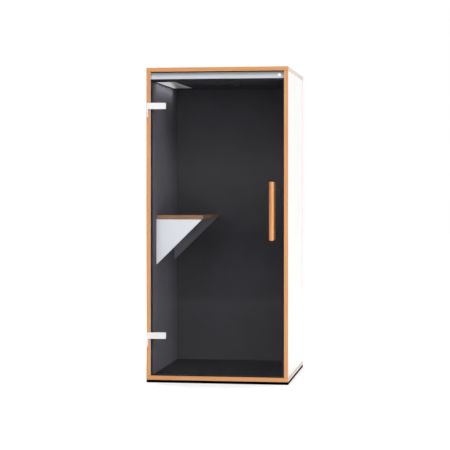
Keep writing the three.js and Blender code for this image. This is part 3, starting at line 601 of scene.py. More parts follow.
def rounded(corners, radii, steps=4):
    """Outline of a polygon with rounded corners, as points and outward directions, in turning order.

    An arc touches both edges of a corner at radius times the tangent of half the turn. Its points are the
    arc's centre plus the radius along the outward direction, which swings by the turn; at an inward corner
    the centre lies outside and the radius counts down. A short straight lead stands at both ends of an arc.
    """
    corners = np.asarray(corners, float)
    radii = np.broadcast_to(np.asarray(radii, float), len(corners))
    into = unit(corners - np.roll(corners, 1, 0))
    onward = unit(np.roll(corners, -1, 0) - corners)
    cross = into[:, 0] * onward[:, 1] - into[:, 1] * onward[:, 0]
    turn = np.arctan2(cross, (into * onward).sum(1))
    swing = np.sign(turn) * radii
    start = corners - into * (radii * np.tan(np.abs(turn) / 2))[:, None]
    normal = np.stack([into[:, 1], -into[:, 0]], 1)
    centre = start - normal * swing[:, None]
    angle = np.arctan2(normal[:, 1], normal[:, 0])[:, None] + turn[:, None] * np.linspace(0, 1, steps + 1)
    outward = np.stack([np.cos(angle), np.sin(angle)], -1)
    points = centre[:, None] + swing[:, None, None] * outward
    first = points[:, :1] - into[:, None] * LEAD
    last = points[:, -1:] + onward[:, None] * LEAD
    points = np.concatenate([first, points, last], 1)
    outward = np.concatenate([outward[:, :1], outward, outward[:, -1:]], 1)
    return points.reshape(-1, 2), outward.reshape(-1, 2)


def circle(centre, count=None):
    """An outline whose inset is the radius itself: one centre, with directions all round."""
    angle = np.linspace(0, FULL, count or sizes().facets, endpoint=False)
    spokes = -np.stack([np.cos(angle), np.sin(angle)], 1)
    return np.broadcast_to(np.asarray(centre, float), spokes.shape), spokes


def rectangle(low, high, axis, radius, steps=4):
    """Rounded rectangle across an axis, from two corners of a box."""
    (left, bottom), (right, top) = (corner[list(PLANES[axis])] for corner in (low, high))
    return rounded([(left, bottom), (right, bottom), (right, top), (left, top)], radius, steps)


def skin_of(grid, ring=False):
    """Points and faces of a row of rings.

    Neighbouring rings are joined by quads. The first and the last are closed by a face, or joined to each
    other where the row is a ring itself.
    """
    index = np.arange(grid.shape[0] * grid.shape[1]).reshape(grid.shape[:2])
    low = index if ring else index[:-1]
    high = np.roll(index, -1, 0) if ring else index[1:]
    quads = np.stack([low, np.roll(low, -1, 1), np.roll(high, -1, 1), high], -1).reshape(-1, 4)
    caps = [] if ring else [index[:1, ::-1], index[-1:]]
    return grid.reshape(-1, 3), [quads, *caps]


def loft(outline, profile, axis="z", ring=False):
    """A skin through shrunken copies of an outline.

    Each row of the profile is an inset and a height. Its ring is every outline point minus the inset times
    its outward direction, at that height along the axis.
    """
    base, outward = outline
    inset, height = np.asarray(profile, float).T
    flat = base - inset[:, None, None] * outward
    rise = np.broadcast_to(height[:, None, None], (*flat.shape[:2], 1))
    return skin_of(np.roll(np.concatenate([flat, rise], -1), "zxy".index(axis), -1), ring)


def rims(low, high, edge, steps=4):
    """Profile from a low to a high face with both rims rounded: each follows a quarter circle."""
    angle = np.linspace(0, QUARTER, steps + 1)
    inset, rise = edge * (1 - np.sin(angle)), edge * (1 - np.cos(angle))
    lower = np.stack([inset, low + rise], 1)
    upper = np.stack([inset, high - rise], 1)[::-1]
    return np.concatenate([
        [[edge + LEAD, low]], lower, [[0, low + edge + LEAD]],
        [[0, high - edge - LEAD]], upper, [[edge + LEAD, high]],
    ])


def slab(low, high, axis, edge, corner=0.0, steps=4):
    """A board with all its edges rounded: a rounded rectangle lofted along an axis with rounded rims."""
    along = "xyz".index(axis)
    outline = rectangle(low, high, axis, max(corner, edge + 2 * LEAD), steps)
    return loft(outline, rims(low[along], high[along], edge, steps), axis)


def turned(radius, low, high, edge):
    """Profile of a round bar with rounded rims: the radius less the inset of the rims, and the height."""
    inset, height = rims(low, high, edge).T
    return np.stack([radius - inset, height], 1)


def rod(centre, radius, low, high, edge, axis):
    """A round bar with rounded rims, turned about an axis."""
    return loft(circle(centre), turned(radius, low, high, edge), axis)


def hoop(centre, inner, outer, low, high, edge, axis="z"):
    """A flat round ring: a rounded rectangle of radius and height, turned about an axis."""
    loop, _ = rounded([(inner, low), (outer, low), (outer, high), (inner, high)], edge, 3)
    return loft(circle(centre), loop, axis, ring=True)


def border(low, high, axis, corner, width, edge):
    """A flat frame: a rounded rectangle of inset and height, carried round the outline of a box."""
    bottom, top = low["xyz".index(axis)], high["xyz".index(axis)]
    loop, _ = rounded([(-width, bottom), (0, bottom), (0, top), (-width, top)], edge, 3)
    return loft(rectangle(low, high, axis, corner), loop * (-1, 1), axis, ring=True)


def repeated(skin, places):
    """Copies of a skin, each moved by a place."""
    points, faces = skin
    moved = (points[None] + places[:, None]).reshape(-1, 3)
    steps = np.arange(len(places)) * len(points)
    return moved, [(face[None] + steps[:, None, None]).reshape(-1, face.shape[1]) for face in faces]


def box_of(node):
    """Low and high corner of a CAD node."""
    low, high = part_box(node)
    return np.array(low), np.array(high)


def middle_of(low, high, axis):
    """Middle of a box across an axis."""
    return ((low + high) / 2)[list(PLANES[axis])]


def shown(name, skins, finish, body, slot, *nodes):
    """One object from closed skins, which rides on a body and stands for CAD nodes. The slot is not used.
    """
    points, faces, count = [], [], 0
    for skin_points, skin_faces in skins:
        points.append(skin_points)
        faces += [row for face in skin_faces for row in (face + count).tolist()]
        count += len(skin_points)
    mesh = bpy.data.meshes.new(name)
    mesh.from_pydata(np.concatenate(points).tolist(), [], faces)
    mesh.polygons.foreach_set("use_smooth", np.ones(len(mesh.polygons), bool))
    mesh.set_sharp_from_angle(angle=math.radians(38))
    mesh.materials.append(finish_of(finish))
    if mesh.validate():
        raise ValueError(f"{name} has faces that Blender can't keep")
    piece = bpy.data.objects.new(name, mesh)
    bpy.context.scene.collection.objects.link(piece)
    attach(piece, body)
    if nodes:
        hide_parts(*nodes)


def dressed(node, finish, edge=0.0):
    """A CAD node kept as it is, with a finish and, where asked for, softened edges."""
    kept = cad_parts[node]
    material = finish_of(finish)
    if not kept.material_slots:
        kept.data.materials.append(material)
    for each in kept.material_slots:
        each.material = material
    if edge:
        kept.modifiers.new("Welded", "WELD").merge_threshold = 1e-5
        soft = kept.modifiers.new("Softened edges", "BEVEL")
        soft.width = edge
        soft.segments = 2
        soft.limit_method = "ANGLE"
        soft.angle_limit = math.radians(50)


def board(node, finish, slot, axis, edge, corner=0.0):
    """A rounded board in the place of a CAD node of the cabin."""
    shown(f"{node}_board", [slab(*box_of(node), axis, edge, corner)], finish, "cabin", slot, node)


# Operators


class POD_OT_stage(Operator):
    """Studio floor, world, lamps and camera"""

    bl_idname = "pod.stage"
    bl_label = "Studio"

    def execute(self, context):
        studio = context.scene.pod_studio
        context.scene.view_settings.view_transform = "Standard"
        self.world(context.scene, studio)
        self.floor(studio)
        low, high = box_of("lamp_diffuser")
        x, y = low[0] + 0.03, (low[1] + high[1]) / 2
        for name, power, place, aim, size in (
            ("key_lamp", studio.key, (9.6, -11.4, 9.0), (0, 0, 1), (6.0, 6.0)),
            ("fill_lamp", studio.fill, (1.8, -11.1, 14.6), (0, -0.3, 1), (8.0, 8.0)),
            ("low_lamp", studio.low, (1.6, -2.8, 0.3), (0, -0.5, 0.1), (2.6, 0.4)),
            ("front_lamp", studio.facing, (-1.6, -8.0, 2.6), (0, 0, 1), (2.5, 2.5)),
            ("side_lamp", studio.side, (6.8, 1.6, 2.2), (0, 0, 1), (3.0, 3.0)),
            ("top_lamp", studio.top, (0.2, -0.6, 6.0), (0, 0, 1), (3.0, 3.0)),
            ("rear_lamp", studio.rear, (-5.2, 4.6, 3.6), (0, 0, 1), (3.0, 3.0)),
            ("cabin_lamp", studio.cabin, (x, y, low[2] - 0.003), (x, y, 0), (0.03, high[1] - low[1])),
        ):
            self.lamp(name, power, Vector(place), Vector(aim), size)
        self.camera(context.scene, studio)
        return {"FINISHED"}

    def world(self, scene, studio):
        """White where it is seen, even light for the rest, and for mirrors a dim front with a bright band.

        The band is at eye level. It fades by the square of one plus the squared height above its middle, in
        band widths.
        """
        band_middle, band_width = 0.006, 0.034
        scene.world = bpy.data.worlds.new("studio")
        nodes = Nodes(scene.world, "ShaderNodeOutputWorld")
        _, y, z = nodes.split("Generated")
        rise = (z - band_middle) / band_width
        spread = rise * rise + 1
        front = studio.glow / (spread * spread) + studio.front
        mirror = nodes.node("ShaderNodeMapRange", None, {
            "Value": y, "From Min": -0.98, "From Max": -0.55, "To Min": front, "To Max": 1.0,
        })
        direct, mirrored = nodes.sight()
        unseen = mirrored * (mirror - studio.ambient) + studio.ambient
        strength = direct * (studio.backdrop - unseen) + unseen
        sockets = {"Color": (1, 1, 1), "Strength": strength}
        nodes.surface(nodes.node("ShaderNodeBackground", None, sockets))

    def floor(self, studio):
        """A level sheet: x and y over a square, z at 0.

        Beyond the object's shadow it is as white as the world. Panes and gloss mirror it dark before the
        object and white behind it.
        """
        across = np.linspace(-30, 30, 5)
        x, y = np.meshgrid(across, across)
        points = np.stack([x, y, np.zeros_like(x)], -1).reshape(-1, 3)
        index = np.arange(x.size).reshape(x.shape)
        quads = np.stack([index[:-1, :-1], index[:-1, 1:], index[1:, 1:], index[1:, :-1]], -1)
        mesh = bpy.data.meshes.new("studio_floor")
        mesh.from_pydata(points.tolist(), [], quads.reshape(-1, 4).tolist())
        sheet = bpy.data.objects.new("studio_floor", mesh)
        bpy.context.scene.collection.objects.link(sheet)
        finish = Finish("studio_floor")
        x, y, _ = finish.split("Object")
        far = finish.ramp((x * x + y * y).root(), 0.55, 1.35)
        behind = finish.ramp(y, -0.5, 0.7)
        direct, mirrored = finish.sight()
        shade = finish.mix(mirrored * (1 - behind), (0.5, 0.5, 0.5), (0.27, 0.27, 0.27))
        finish.set({"Base Color": shade, "Roughness": 0.95, "Specular IOR Level": 0.05})
        strength = direct.larger(mirrored * behind) * (far * (1 - studio.floor_lift) + studio.floor_lift)
        lift = finish.node("ShaderNodeEmission", None, {"Color": (1, 1, 1), "Strength": strength})
        finish.surface(finish.node("ShaderNodeAddShader", None, {0: finish.shader, 1: lift}))
        mesh.materials.append(finish.material)

    def lamp(self, name, power, place, aim, size):
        """A flat lamp that faces a point and isn't seen itself."""
        light = bpy.data.lights.new(name, "AREA")
        light.shape = "RECTANGLE"
        light.size, light.size_y = size
        light.energy = power
        lamp = bpy.data.objects.new(name, light)
        lamp.location = place
        lamp.rotation_euler = (aim - place).to_track_quat("-Z", "Y").to_euler()
        lamp.visible_camera = lamp.visible_transmission = lamp.visible_glossy = False
        bpy.context.scene.collection.objects.link(lamp)

    def camera(self, scene, studio):
        """Level, at the height of the handle's upper end, turned a little to the left."""
        camera = bpy.data.cameras.new("camera")
        camera.sensor_width = 36.0
        camera.lens = studio.lens
        camera.shift_y = studio.shift
        holder = bpy.data.objects.new("camera", camera)
        holder.location = studio.place
        holder.rotation_euler = (QUARTER, 0, studio.turn)
        scene.collection.objects.link(holder)
        scene.camera = holder


class POD_OT_panels(Operator):
    """Laminated plywood panels of the outer box, and the screws in the roof and the back"""

    bl_idname = "pod.panels"
    bl_label = "Panels"

    def execute(self, context):
        for node, axis, faces in (
            ("floor_panel", "z", ("laminate", "inner_face")),
            ("roof_panel", "z", ("inner_face", "laminate")),
            ("left_side_panel", "x", ("laminate", "inner_side")),
            ("right_side_panel", "x", ("inner_side", "laminate")),
            ("back_panel", "y", ("inner_face", "laminate")),
        ):
            plies, lipped = ("ply_light", "ply_dark"), axis != "y"
            finish = made(f"{node}_ply", laminated, node, axis, faces, plies, sizes().sheet, lipped)
            dressed(node, finish, sizes().panel_arris)
        self.screws("roof_screws", "roof_panel", "z", "y", 0.09, 4)
        self.screws("back_screws", "back_panel", "y", "z", 0.12, 6)
        return {"FINISHED"}

    def screws(self, name, node, axis, along, margin, count):
        """Screw heads: a low dome of radius and height about an axis, in rows beside two edges."""
        radius, rise, inset = sizes().screw, 0.0005, 0.014
        angle = np.linspace(0, QUARTER, 7)[:-1]
        dome = np.stack([radius * np.cos(angle), rise * np.sin(angle)], 1)
        profile = np.concatenate([[[radius * 0.96, -0.002], [radius, -0.0002]], dome])
        low, high = box_of(node)
        row = "xyz".index(along)
        places = np.tile(high, (2 * count, 1))
        places[:, 0] = np.repeat([low[0] + inset, high[0] - inset], count)
        places[:, row] = np.tile(np.linspace(low[row] + margin, high[row] - margin, count), 2)
        heads = repeated(loft(circle((0, 0), 20), profile, axis), places)
        shown(name, [heads], "screw_white", "cabin", "white_laminate")


class POD_OT_base(Operator):
    """Black base rails and levelling feet"""

    bl_idname = "pod.base"
    bl_label = "Base"

    def execute(self, context):
        for place, axis in {"front": "x", "back": "x", "left": "y", "right": "y"}.items():
            board(f"base_rail_{place}", "black_steel", "black_steel", axis, 0.0012, 0.003)
        for place in ("front_left", "front_right", "back_left", "back_right"):
            self.foot(f"foot_{place}")
        return {"FINISHED"}

    def foot(self, node):
        """Pad, lock nut and stem. The stem's radius swells and shrinks once each pitch, and once a turn."""
        low, high = box_of(node)
        centre = middle_of(low, high, "z")
        stem, thread_depth, nut_radius = 0.0046, 0.07, 0.009
        pad = [
            (0.001, 0.0), (0.0185, 0.0), (0.0194, 0.0003), (0.02, 0.001), (0.02, 0.0032), (0.0194, 0.0038),
            (0.012, 0.0056), (0.0068, 0.0064), (0.005, 0.0068), (stem, 0.0072), (stem, 0.009),
        ]
        spin = np.arange(6) * FULL / 6
        flats = np.stack([np.cos(spin), np.sin(spin)], 1) * nut_radius + centre
        nut = loft(rounded(flats, 0.0012, 2), rims(0.0137, 0.0197, 0.0007, 2))
        rise = np.arange(0.0085, high[2] - 0.0003, sizes().thread / 6)
        points, faces = loft(circle(centre, 24), np.stack([np.full_like(rise, stem), rise], 1))
        angle = np.arctan2(points[:, 1] - centre[1], points[:, 0] - centre[0])
        wave = np.cos(FULL * points[:, 2] / sizes().thread - angle)
        points[:, :2] = centre + (points[:, :2] - centre) * (1 + thread_depth * wave[:, None])
        skins = [loft(circle(centre), pad), nut, (points, faces)]
        shown(f"{node}_turned", skins, "black_plastic", node, "black_plastic", node)


class POD_OT_linings(Operator):
    """Felt boards, carpet and insulation"""

    bl_idname = "pod.linings"
    bl_label = "Linings"

    def execute(self, context):
        edge = sizes().felt_edge
        # Side linings take a lit copy of the felt, the back and the ceiling shaded copies: painted light
        # and shade.
        board("left_lining", "side_felt", "felt", "x", edge)
        board("right_lining", "side_felt", "felt", "x", edge)
        board("back_lining", "felt", "felt", "y", edge)
        dressed("ceiling_panel", "ceiling_felt", edge / 2)
        board("carpet", "carpet", "carpet_pile", "z", 0.0015)
        for node in ("back_insulation_left", "back_insulation_right", "roof_insulation"):
            dressed(node, "foam", 0.003)
        return {"FINISHED"}


class POD_OT_seals(Operator):
    """Rubber seals round the glass"""

    bl_idname = "pod.seals"
    bl_label = "Seals"

    def execute(self, context):
        for node in ("seal_left", "seal_right"):
            low, high = box_of(node)
            outline = self.lips(low[0], high[0], low[1], high[1])
            self.strip(f"{node}_lips", node, outline, low[2], high[2], "z")
        low, high = box_of("seal_top")
        outline = [pair[:, ::-1] * (1, -1) for pair in self.lips(-high[2], -low[2], low[1], high[1])]
        self.strip("seal_top_lips", "seal_top", outline, low[0], high[0], "x")
        low, high = box_of("threshold_seal")
        self.strip("threshold_wedge", "threshold_seal", self.wedge(low, high), low[0], high[0], "x")
        return {"FINISHED"}

    def strip(self, name, node, outline, start, end, axis):
        """A strip of rubber: an outline lofted along an axis."""
        skin = loft(outline, rims(start, end, CUT_RIM, 2), axis)
        shown(name, [skin], "rubber", "cabin", "rubber", node)

    def lips(self, left, right, front, back):
        """Two round lips towards the glass with a groove between them."""
        middle, groove, depth = (left + right) / 2, 0.0014, 0.0022
        corners = [
            (left, front), (middle - groove, front), (middle, front + depth), (middle + groove, front),
            (right, front), (right, back), (left, back),
        ]
        return rounded(corners, [0.0022, 0.0008, 0.0006, 0.0008, 0.0022, 0.0005, 0.0005], 3)

    def wedge(self, low, high):
        """A wedge that falls away into the cabin, with a rounded nose at the glass."""
        nose, foot = 0.006, 0.0055
        corners = [
            (low[1], low[2]), (high[1], low[2]), (high[1], low[2] + foot),
            (low[1] + nose, high[2]), (low[1], high[2]),
        ]
        return rounded(corners, [0.0005, 0.0005, 0.0012, 0.002, 0.0016], 3)


class POD_OT_header(Operator):
    """Aluminium header and its indicator"""

    bl_idname = "pod.header"
    bl_label = "Header"

    def execute(self, context):
        low, high = box_of("header_rail")
        wall, lip = 0.0025, 0.006
        front, back, bottom, top = low[1], high[1], low[2], high[2]
        face = front + lip
        channel = [
            (front, bottom), (back, bottom), (back, bottom + wall), (face + wall, bottom + wall),
            (face + wall, top - wall), (back, top - wall), (back, top), (face, top), (face, bottom + wall),
            (front, bottom + wall),
        ]
        radii = [0.0006, 0.0003, 0.0003, 0.0006, 0.0006, 0.0003, 0.0003, 0.0008, 0.0016, 0.0006]
        skin = loft(rounded(channel, radii, 3), rims(low[0], high[0], 0.0003, 2), "x")
        # Painted shade: the header darkens towards its top, standing in for the shadow under the roof's
        # overhang.
        painted_shade = bottom + 0.0097, top - 0.001
        finish = made("header_aluminium_finish", brushed, "aluminium", "x", 0.42, 0.16, painted_shade)
        shown("header_channel", [skin], finish, "cabin", "aluminium", "header_rail")
        self.indicator()
        return {"FINISHED"}

    def indicator(self):
        """A rounded ring and a low dome: the lens's radius is a cosine and its height a sine."""
        low, high = box_of("indicator_bezel")
        centre = middle_of(low, high, "y")
        outer, width, stem = (high[0] - low[0]) / 2, 0.0022, 0.0045
        ring = hoop(centre, outer - width, outer, low[1], high[1], 0.0008, "y")
        shown("indicator_ring", [ring], "grille_aluminium", "cabin", "satin_steel", "indicator_bezel")
        lens_low, lens_high = box_of("indicator_lens")
        radius, rim = (lens_high[0] - lens_low[0]) / 2, low[1] + 0.0012
        angle = np.linspace(QUARTER - 0.03, 0, 12)
        dome = np.stack([radius * np.cos(angle), rim - (rim - lens_low[1]) * np.sin(angle)], 1)
        back = [(radius, high[1]), (stem, high[1] + 0.0001), (stem, lens_high[1])]
        lens = loft(circle(centre), np.concatenate([dome, back]), "y")
        shown("indicator_dome", [lens], "lens_opal", "cabin", "opal", "indicator_lens")


class POD_OT_door(Operator):
    """Glass door leaf"""

    bl_idname = "pod.door"
    bl_label = "Glass door"

    def execute(self, context):
        dressed("door_glass", "clear_glass", sizes().glass_arris)
        return {"FINISHED"}


class POD_OT_hinges(Operator):
    """Strap hinges: knuckle and plate, bush, post with its pin, and the clamp plate behind the glass"""

    bl_idname = "pod.hinges"
    bl_label = "Hinges"

    def execute(self, context):
        for place in ("upper", "lower"):
            self.strap(place, f"{place}_hinge_strap")
            self.post(place, f"{place}_hinge_post")
            dressed(f"{place}_hinge_bush", "bar_steel")
            self.clamp(place, f"{place}_hinge_clamp")
        return {"FINISHED"}

    def strap(self, place, node):
        """A plate with rounded edges that meets a turned knuckle, which has a blind hole from below."""
        low, high = box_of(node)
        edge, thickness = sizes().metal_edge, 0.008
        bore, chamfer, cap = 0.00585, 0.0004, 0.004
        x, y = low[:2] + KNUCKLE
        front, back = high[1] - thickness, high[1]
        corners = [
            (x + 0.00695, front), (high[0], front), (high[0], back), (x - 0.001, back),
            (x - 0.001, y + 0.0071), (x + 0.0036, y + 0.0062), (x + 0.0062, y + 0.0036),
        ]
        radii = [0.0003, edge + 0.001, edge + 0.001, 0.0003, 0.0002, 0.0006, 0.0006]
        plate = loft(rounded(corners, radii), rims(low[2], high[2], 0.0006, 3))
        hole_top = high[2] - cap
        hole = [(0.0005, hole_top), (bore, hole_top), (bore, low[2] + chamfer), (bore + chamfer, low[2])]
        outside = turned(KNUCKLE, low[2], high[2], edge)[1:]
        knuckle = loft(circle((x, y)), np.concatenate([hole, outside]))
        shown(f"{place}_strap", [plate, knuckle], "satin_steel", "door", "satin_steel", node)

    def post(self, place, node):
        """A post with a round front, its pin and two dowels.

        Down the tip, the depth of the post shrinks back to the panel by the sine of a quarter turn while
        the height falls by its cosine, and the width shrinks to the inner side in the same way, to a part
        of it.
        """
        low, high = box_of(node)
        strap_low, _ = box_of(f"{place}_hinge_strap")
        panel_low, _ = box_of("left_side_panel")
        width, tip, thinnest, gap, off_panel = 0.0125, 0.032, 0.4, 0.0023, 0.0003
        x, y = strap_low[:2] + KNUCKLE
        left, front = low[:2]
        right, back, top = left + width, panel_low[1] - off_panel, strap_low[2] - gap
        corners = [(left, front), (right, front), (right, back), (left, back)]
        angle = np.linspace(0.08, QUARTER, 16)
        end = np.stack([np.zeros_like(angle), low[2] + tip * (1 - np.cos(angle))], 1)
        rim = [(0, top - 0.0008), (0.0002, top - 0.0002), (0.0006, top)]
        outline = rounded(corners, [0.006, 0.006, 0.0004, 0.0004], 8)
        points, faces = loft(outline, np.concatenate([end, rim]))
        share = np.concatenate([np.sin(angle), np.ones(len(rim))])[:, None]
        rings = points.reshape(len(share), -1, 3)
        rings[..., 1] = back - (back - rings[..., 1]) * share
        rings[..., 0] = right - (right - rings[..., 0]) * (thinnest + (1 - thinnest) * share)
        skins = [(points, faces), rod((x, y), PIN, top - 0.003, high[2], PIN_RIM, "z")]
        dowel, below, apart = 0.003, 0.019, 0.012
        for rise in (-apart, apart):
            skins.append(rod((top - below + rise, x), dowel, y, high[1], PIN_RIM, "y"))
        shown(f"{place}_post", skins, "bar_steel", "cabin", "satin_steel", node)

    def clamp(self, place, node):
        """A rounded plate behind the glass with two bosses through it."""
        low, high = box_of(node)
        thickness, boss, inset = 0.005, 0.006, 0.018
        plate_low = np.array([low[0], high[1] - thickness, low[2]])
        skins = [slab(plate_low, high, "y", sizes().metal_edge, 0.003)]
        middle = (low[2] + high[2]) / 2
        for x in (low[0] + inset, high[0] - inset):
            skins.append(rod((middle, x), boss, low[1], high[1] - 0.002, PIN_RIM, "y"))
        shown(f"{place}_clamp", skins, "satin_steel", "door", "satin_steel", node)


class POD_OT_handles(Operator):
    """Round wooden handles and their spacers"""

    bl_idname = "pod.handles"
    bl_label = "Handles"

    def execute(self, context):
        # The inner bar takes the same timber at 0.3 of its colour: painted shade for the bar behind the
        # glass in the cabin.
        for side, depth in {"outer": 1.0, "inner": 0.3}.items():
            node = f"handle_{side}_bar"
            low, high = box_of(node)
            centre = middle_of(low, high, "z")
            # Painted shade: each bar darker on its left and lighter on its right.
            painted_shade_span = centre[0] - 0.002, centre[0] + 0.006
            finish = made(f"{side}_handle_wood", timber, centre + (0.035, 0.05), depth, painted_shade_span)
            bar = rod(centre, (high[0] - low[0]) / 2, low[2], high[2], 0.005, "z")
            shown(f"{side}_handle", [bar], finish, "door", "timber", node)
            for end in ("upper", "lower"):
                self.spacer(f"handle_{side}_spacer_{end}")
        return {"FINISHED"}

    def spacer(self, node):
        """A turned spacer: the outer one has a stud through the glass, the inner one a bore for it."""
        low, high = box_of(node)
        centre = middle_of(low, high, "y")
        if "outer" in node:
            glass = box_of("door_glass")[0][1]
            skins = [
                rod(centre, SPACER, low[1], glass - 0.0003, 0.0006, "y"),
                rod(centre, PIN, glass - 0.004, high[1], PIN_RIM, "y"),
            ]
        else:
            bored = low[1] + 0.0143
            skins = [
                hoop(centre, PIN + 0.0003, SPACER, low[1], bored, PIN_RIM, "y"),
                rod(centre, SPACER, bored, high[1], 0.0003, "y"),
            ]
        shown(f"{node}_turned", skins, "bar_steel", "door", "satin_steel", node)


class POD_OT_desk(Operator):
    """Desk, its two gables, the power module and the supply below"""

    bl_idname = "pod.desk"
    bl_label = "Desk"

    def execute(self, context):
        plies = "desk_light", "desk_dark"
        finish = made("desk_ply", laminated, "desk_top", "z", ("desk", "desk"), plies, 0.0015)
        skin = slab(*box_of("desk_top"), "z", sizes().desk_edge, 0.003)
        shown("desk_board", [skin], finish, "cabin", "dark_laminate", "desk_top")
        self.gable("front_gable", "desk_front_gable", "gloss_white", "white_gloss")
        self.gable("back_gable", "desk_back_gable", "smooth_laminate", "dark_laminate")
        self.module()
        dressed("desk_wall_cleat", "bench_wood", 0.001)
        dressed("power_supply", "grille_aluminium", 0.001)
        return {"FINISHED"}

    def gable(self, name, node, finish, slot):
        """A triangle below the desk with rounded corners, lofted along the depth with rounded rims."""
        low, high = box_of(node)
        corners = [(low[2], low[0]), (high[2], high[0]), (high[2], low[0])]
        edge = sizes().gable_edge
        skin = loft(rounded(corners, edge + 2 * LEAD), rims(low[1], high[1], edge), "y")
        shown(name, [skin], finish, "cabin", slot, node)

    def module(self):
        """Body and cover plate, with two round sockets and two charging slots in the plate."""
        low, high = box_of("power_module")
        plate, overhang, sunk = 0.0025, 0.005, 0.001
        plate_low = np.array([*low[:2], high[2] - plate])
        skins = [
            slab(plate_low, high, "z", 0.0008, 0.006),
            slab(low + (overhang, overhang, 0), high - (overhang, overhang, sunk), "z", 0.001, 0.003),
        ]
        shown("module_cover", skins, "black_plastic", "cabin", "black_plastic", "power_module")
        x, y = middle_of(low, high, "z")
        bottom, top = high[2] - sunk, high[2]
        details = []
        for shift in (-0.055, 0.0):
            details.append(hoop((x, y + shift), 0.0185, 0.0215, bottom, top + 0.0008, 0.0004))
            for pin in (-0.0095, 0.0095):
                details.append(hoop((x, y + shift + pin), 0.0023, 0.0034, bottom, top + 0.0005, 0.0002))
        for shift in (0.046, 0.064):
            slot_low = np.array([x - 0.007, y + shift - 0.0035, bottom])
            slot_high = np.array([x + 0.007, y + shift + 0.0035, top + 0.0006])
            details.append(border(slot_low, slot_high, "z", 0.0016, 0.0012, 0.0003))
        shown("module_sockets", details, "socket_plastic", "cabin", "black_plastic")


class POD_OT_lamp(Operator):
    """Ceiling lamp: tray with its flange, and the lit cover"""

    bl_idname = "pod.lamp"
    bl_label = "Lamp"

    def execute(self, context):
        low, high = box_of("lamp_housing")
        flange, sheet, rim = 0.002, 0.002, 0.005
        bottom, top, inner = low[2], high[2], rim + sheet
        profile = [
            (inner + 0.0004, top - sheet), (inner, top - sheet - 0.0004),
            (inner, bottom + 0.0004), (inner - 0.0004, bottom),
            (0.0006, bottom), (0.0002, bottom + 0.0002), (0, bottom + 0.0006),
            (0, bottom + flange - 0.0003), (0.0003, bottom + flange), (rim, bottom + flange),
            (rim, top - 0.0006), (rim + 0.0006, top),
        ]
        tray = loft(rectangle(low, high, "z", 0.009, 5), profile)
        shown("lamp_tray", [tray], "grille_aluminium", "cabin", "aluminium", "lamp_housing")
        cover = slab(*box_of("lamp_diffuser"), "z", 0.0008, 0.002)
        shown("lamp_cover", [cover], "lit_cover", "cabin", "opal", "lamp_diffuser")
        return {"FINISHED"}


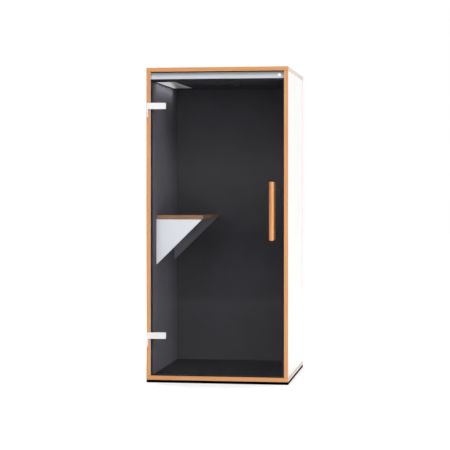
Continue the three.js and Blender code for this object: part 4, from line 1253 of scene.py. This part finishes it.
class POD_OT_air(Operator):
    """Fan, its grilles, the outlet and the cable grommet"""

    bl_idname = "pod.air"
    bl_label = "Ventilation"

    def execute(self, context):
        dressed("fan_housing", "black_plastic", 0.0008)
        self.rotor()
        self.round_grille("ceiling_grille", "ceiling_plastic", "black_plastic")
        self.round_grille("roof_grille", "grille_aluminium", "aluminium")
        self.outlet()
        self.grommet()
        return {"FINISHED"}

    def rotor(self):
        """Hub and blades. A blade's section is an arched ellipse, twisted less towards the tip.

        Its chord runs with the cosine round the section, its thickness with the sine, and its arch with the
        squared sine. The tips are swept back by the square of the way out.
        """
        low, high = box_of("fan_rotor")
        centre = middle_of(low, high, "z")
        tip, hub, bore, blades = (high[0] - low[0]) / 2, 0.024, 0.0044, 7
        out = np.linspace(hub - 0.003, tip - 0.0005, 9)[:, None]
        share = (out - hub) / (tip - hub)
        around = np.linspace(0, FULL, 20, endpoint=False)[None]
        chord = (0.011 + 0.003 * share) * np.cos(around)
        thick = 0.0011 * np.sin(around) + 0.0025 * (1 - np.cos(around) ** 2)
        pitch = 0.62 - 0.2 * share
        swept = chord * np.cos(pitch) - thick * np.sin(pitch) + 0.006 * share ** 2
        rise = chord * np.sin(pitch) + thick * np.cos(pitch) + low[2] + 0.0125
        reach = np.sqrt(out ** 2 - swept ** 2)
        turn = np.arange(blades)[:, None, None] * (FULL / blades)
        x = centre[0] + reach * np.cos(turn) - swept * np.sin(turn)
        y = centre[1] + reach * np.sin(turn) + swept * np.cos(turn)
        grids = np.stack([x, y, np.broadcast_to(rise, x.shape)], -1)
        skins = [hoop(centre, bore, hub, low[2], high[2], 0.002), *map(skin_of, grids)]
        shown("fan_wheel", skins, "black_plastic", "fan_rotor", "black_plastic", "fan_rotor")

    def round_grille(self, node, finish, slot):
        """A flat ring with bars across it.

        A bar's half length is half the chord of a circle a little outside the opening, taken at the bar's
        edge next to the middle, less a millimetre.
        """
        low, high = box_of(node)
        centre = middle_of(low, high, "z")
        outer, opening, pitch, width = (high[0] - low[0]) / 2, 0.058, 0.013, 0.007
        hold, inset = 0.004, 0.0002
        skins = [hoop(centre, opening, outer, low[2], high[2], 0.0008)]
        for shift in np.arange(-4.5, 5) * pitch:
            half = math.sqrt((opening + hold) ** 2 - (abs(shift) - width / 2) ** 2) - 0.001
            x, y = centre + (0, shift)
            bar_low = np.array([x - half, y - width / 2, low[2] + inset])
            bar_high = np.array([x + half, y + width / 2, high[2] - inset])
            skins.append(slab(bar_low, bar_high, "x", PIN_RIM, 0.001, 3))
        shown(f"{node}_bars", skins, finish, "cabin", slot, node)

    def outlet(self):
        """A flat frame with rounded louvre bars across it, the outer two wider."""
        low, high = box_of("exhaust_grille")
        frame_width, hold, pitch = 0.01, 0.008, 0.013
        skins = [border(low, high, "y", 0.004, frame_width, 0.0008)]
        middle = (low[2] + high[2]) / 2
        for step in np.arange(-2.5, 3):
            half = 0.0025 if abs(step) < 2 else 0.0035
            rise = middle + step * pitch
            bar_low = np.array([low[0] + hold, low[1] + 0.0003, rise - half])
            bar_high = np.array([high[0] - hold, high[1] - 0.0002, rise + half])
            skins.append(slab(bar_low, bar_high, "x", PIN_RIM, 0.0012, 3))
        shown("outlet_louvres", skins, "grille_aluminium", "cabin", "aluminium", "exhaust_grille")

    def grommet(self):
        """A turned plug: sleeve, flange with a rounded rim, and a shallow dished middle."""
        low, high = box_of("cable_grommet")
        face = high[1]
        profile = [
            (0.0175, low[1]), (0.018, low[1] + 0.0005), (0.018, face - 0.003), (0.0235, face - 0.003),
            (0.024, face - 0.0025), (0.024, face - 0.001), (0.0235, face - 0.0003), (0.0225, face),
            (0.016, face), (0.0153, face - 0.0006), (0.0145, face - 0.0018), (0.008, face - 0.0022),
            (0.0075, face - 0.0012), (0.001, face - 0.0008),
        ]
        plug = loft(circle(middle_of(low, high, "y")), profile, "y")
        shown("grommet_plug", [plug], "rubber", "cabin", "rubber", "cable_grommet")


OPERATORS = (
    POD_OT_stage, POD_OT_panels, POD_OT_base, POD_OT_linings, POD_OT_seals, POD_OT_header, POD_OT_door,
    POD_OT_hinges, POD_OT_handles, POD_OT_desk, POD_OT_lamp, POD_OT_air,
)


class POD_PT_sidebar(Panel):
    """Pieces, sizes and colours of the pod"""

    bl_idname = "POD_PT_sidebar"
    bl_label = "Acoustic Office Pod"
    bl_space_type = "VIEW_3D"
    bl_region_type = "UI"
    bl_category = "Pod"

    def draw(self, context):
        for operator in OPERATORS:
            self.layout.operator(operator.bl_idname)
        scene = context.scene
        for group in (scene.pod_sizes, scene.pod_colours, scene.pod_studio):
            box = self.layout.box()
            for name in group.__annotations__:
                box.prop(group, name)


CLASSES = (PodSizes, PodColours, PodStudio, *OPERATORS, POD_PT_sidebar)


def register():
    for each in CLASSES:
        bpy.utils.register_class(each)
    bpy.types.Scene.pod_sizes = PointerProperty(type=PodSizes)
    bpy.types.Scene.pod_colours = PointerProperty(type=PodColours)
    bpy.types.Scene.pod_studio = PointerProperty(type=PodStudio)


def unregister():
    del bpy.types.Scene.pod_studio
    del bpy.types.Scene.pod_colours
    del bpy.types.Scene.pod_sizes
    for each in reversed(CLASSES):
        bpy.utils.unregister_class(each)


def main():
    """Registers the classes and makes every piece."""
    register()
    for operator in OPERATORS:
        getattr(bpy.ops.pod, operator.bl_idname.split(".")[1])()


if __name__ == "__main__":
    main()
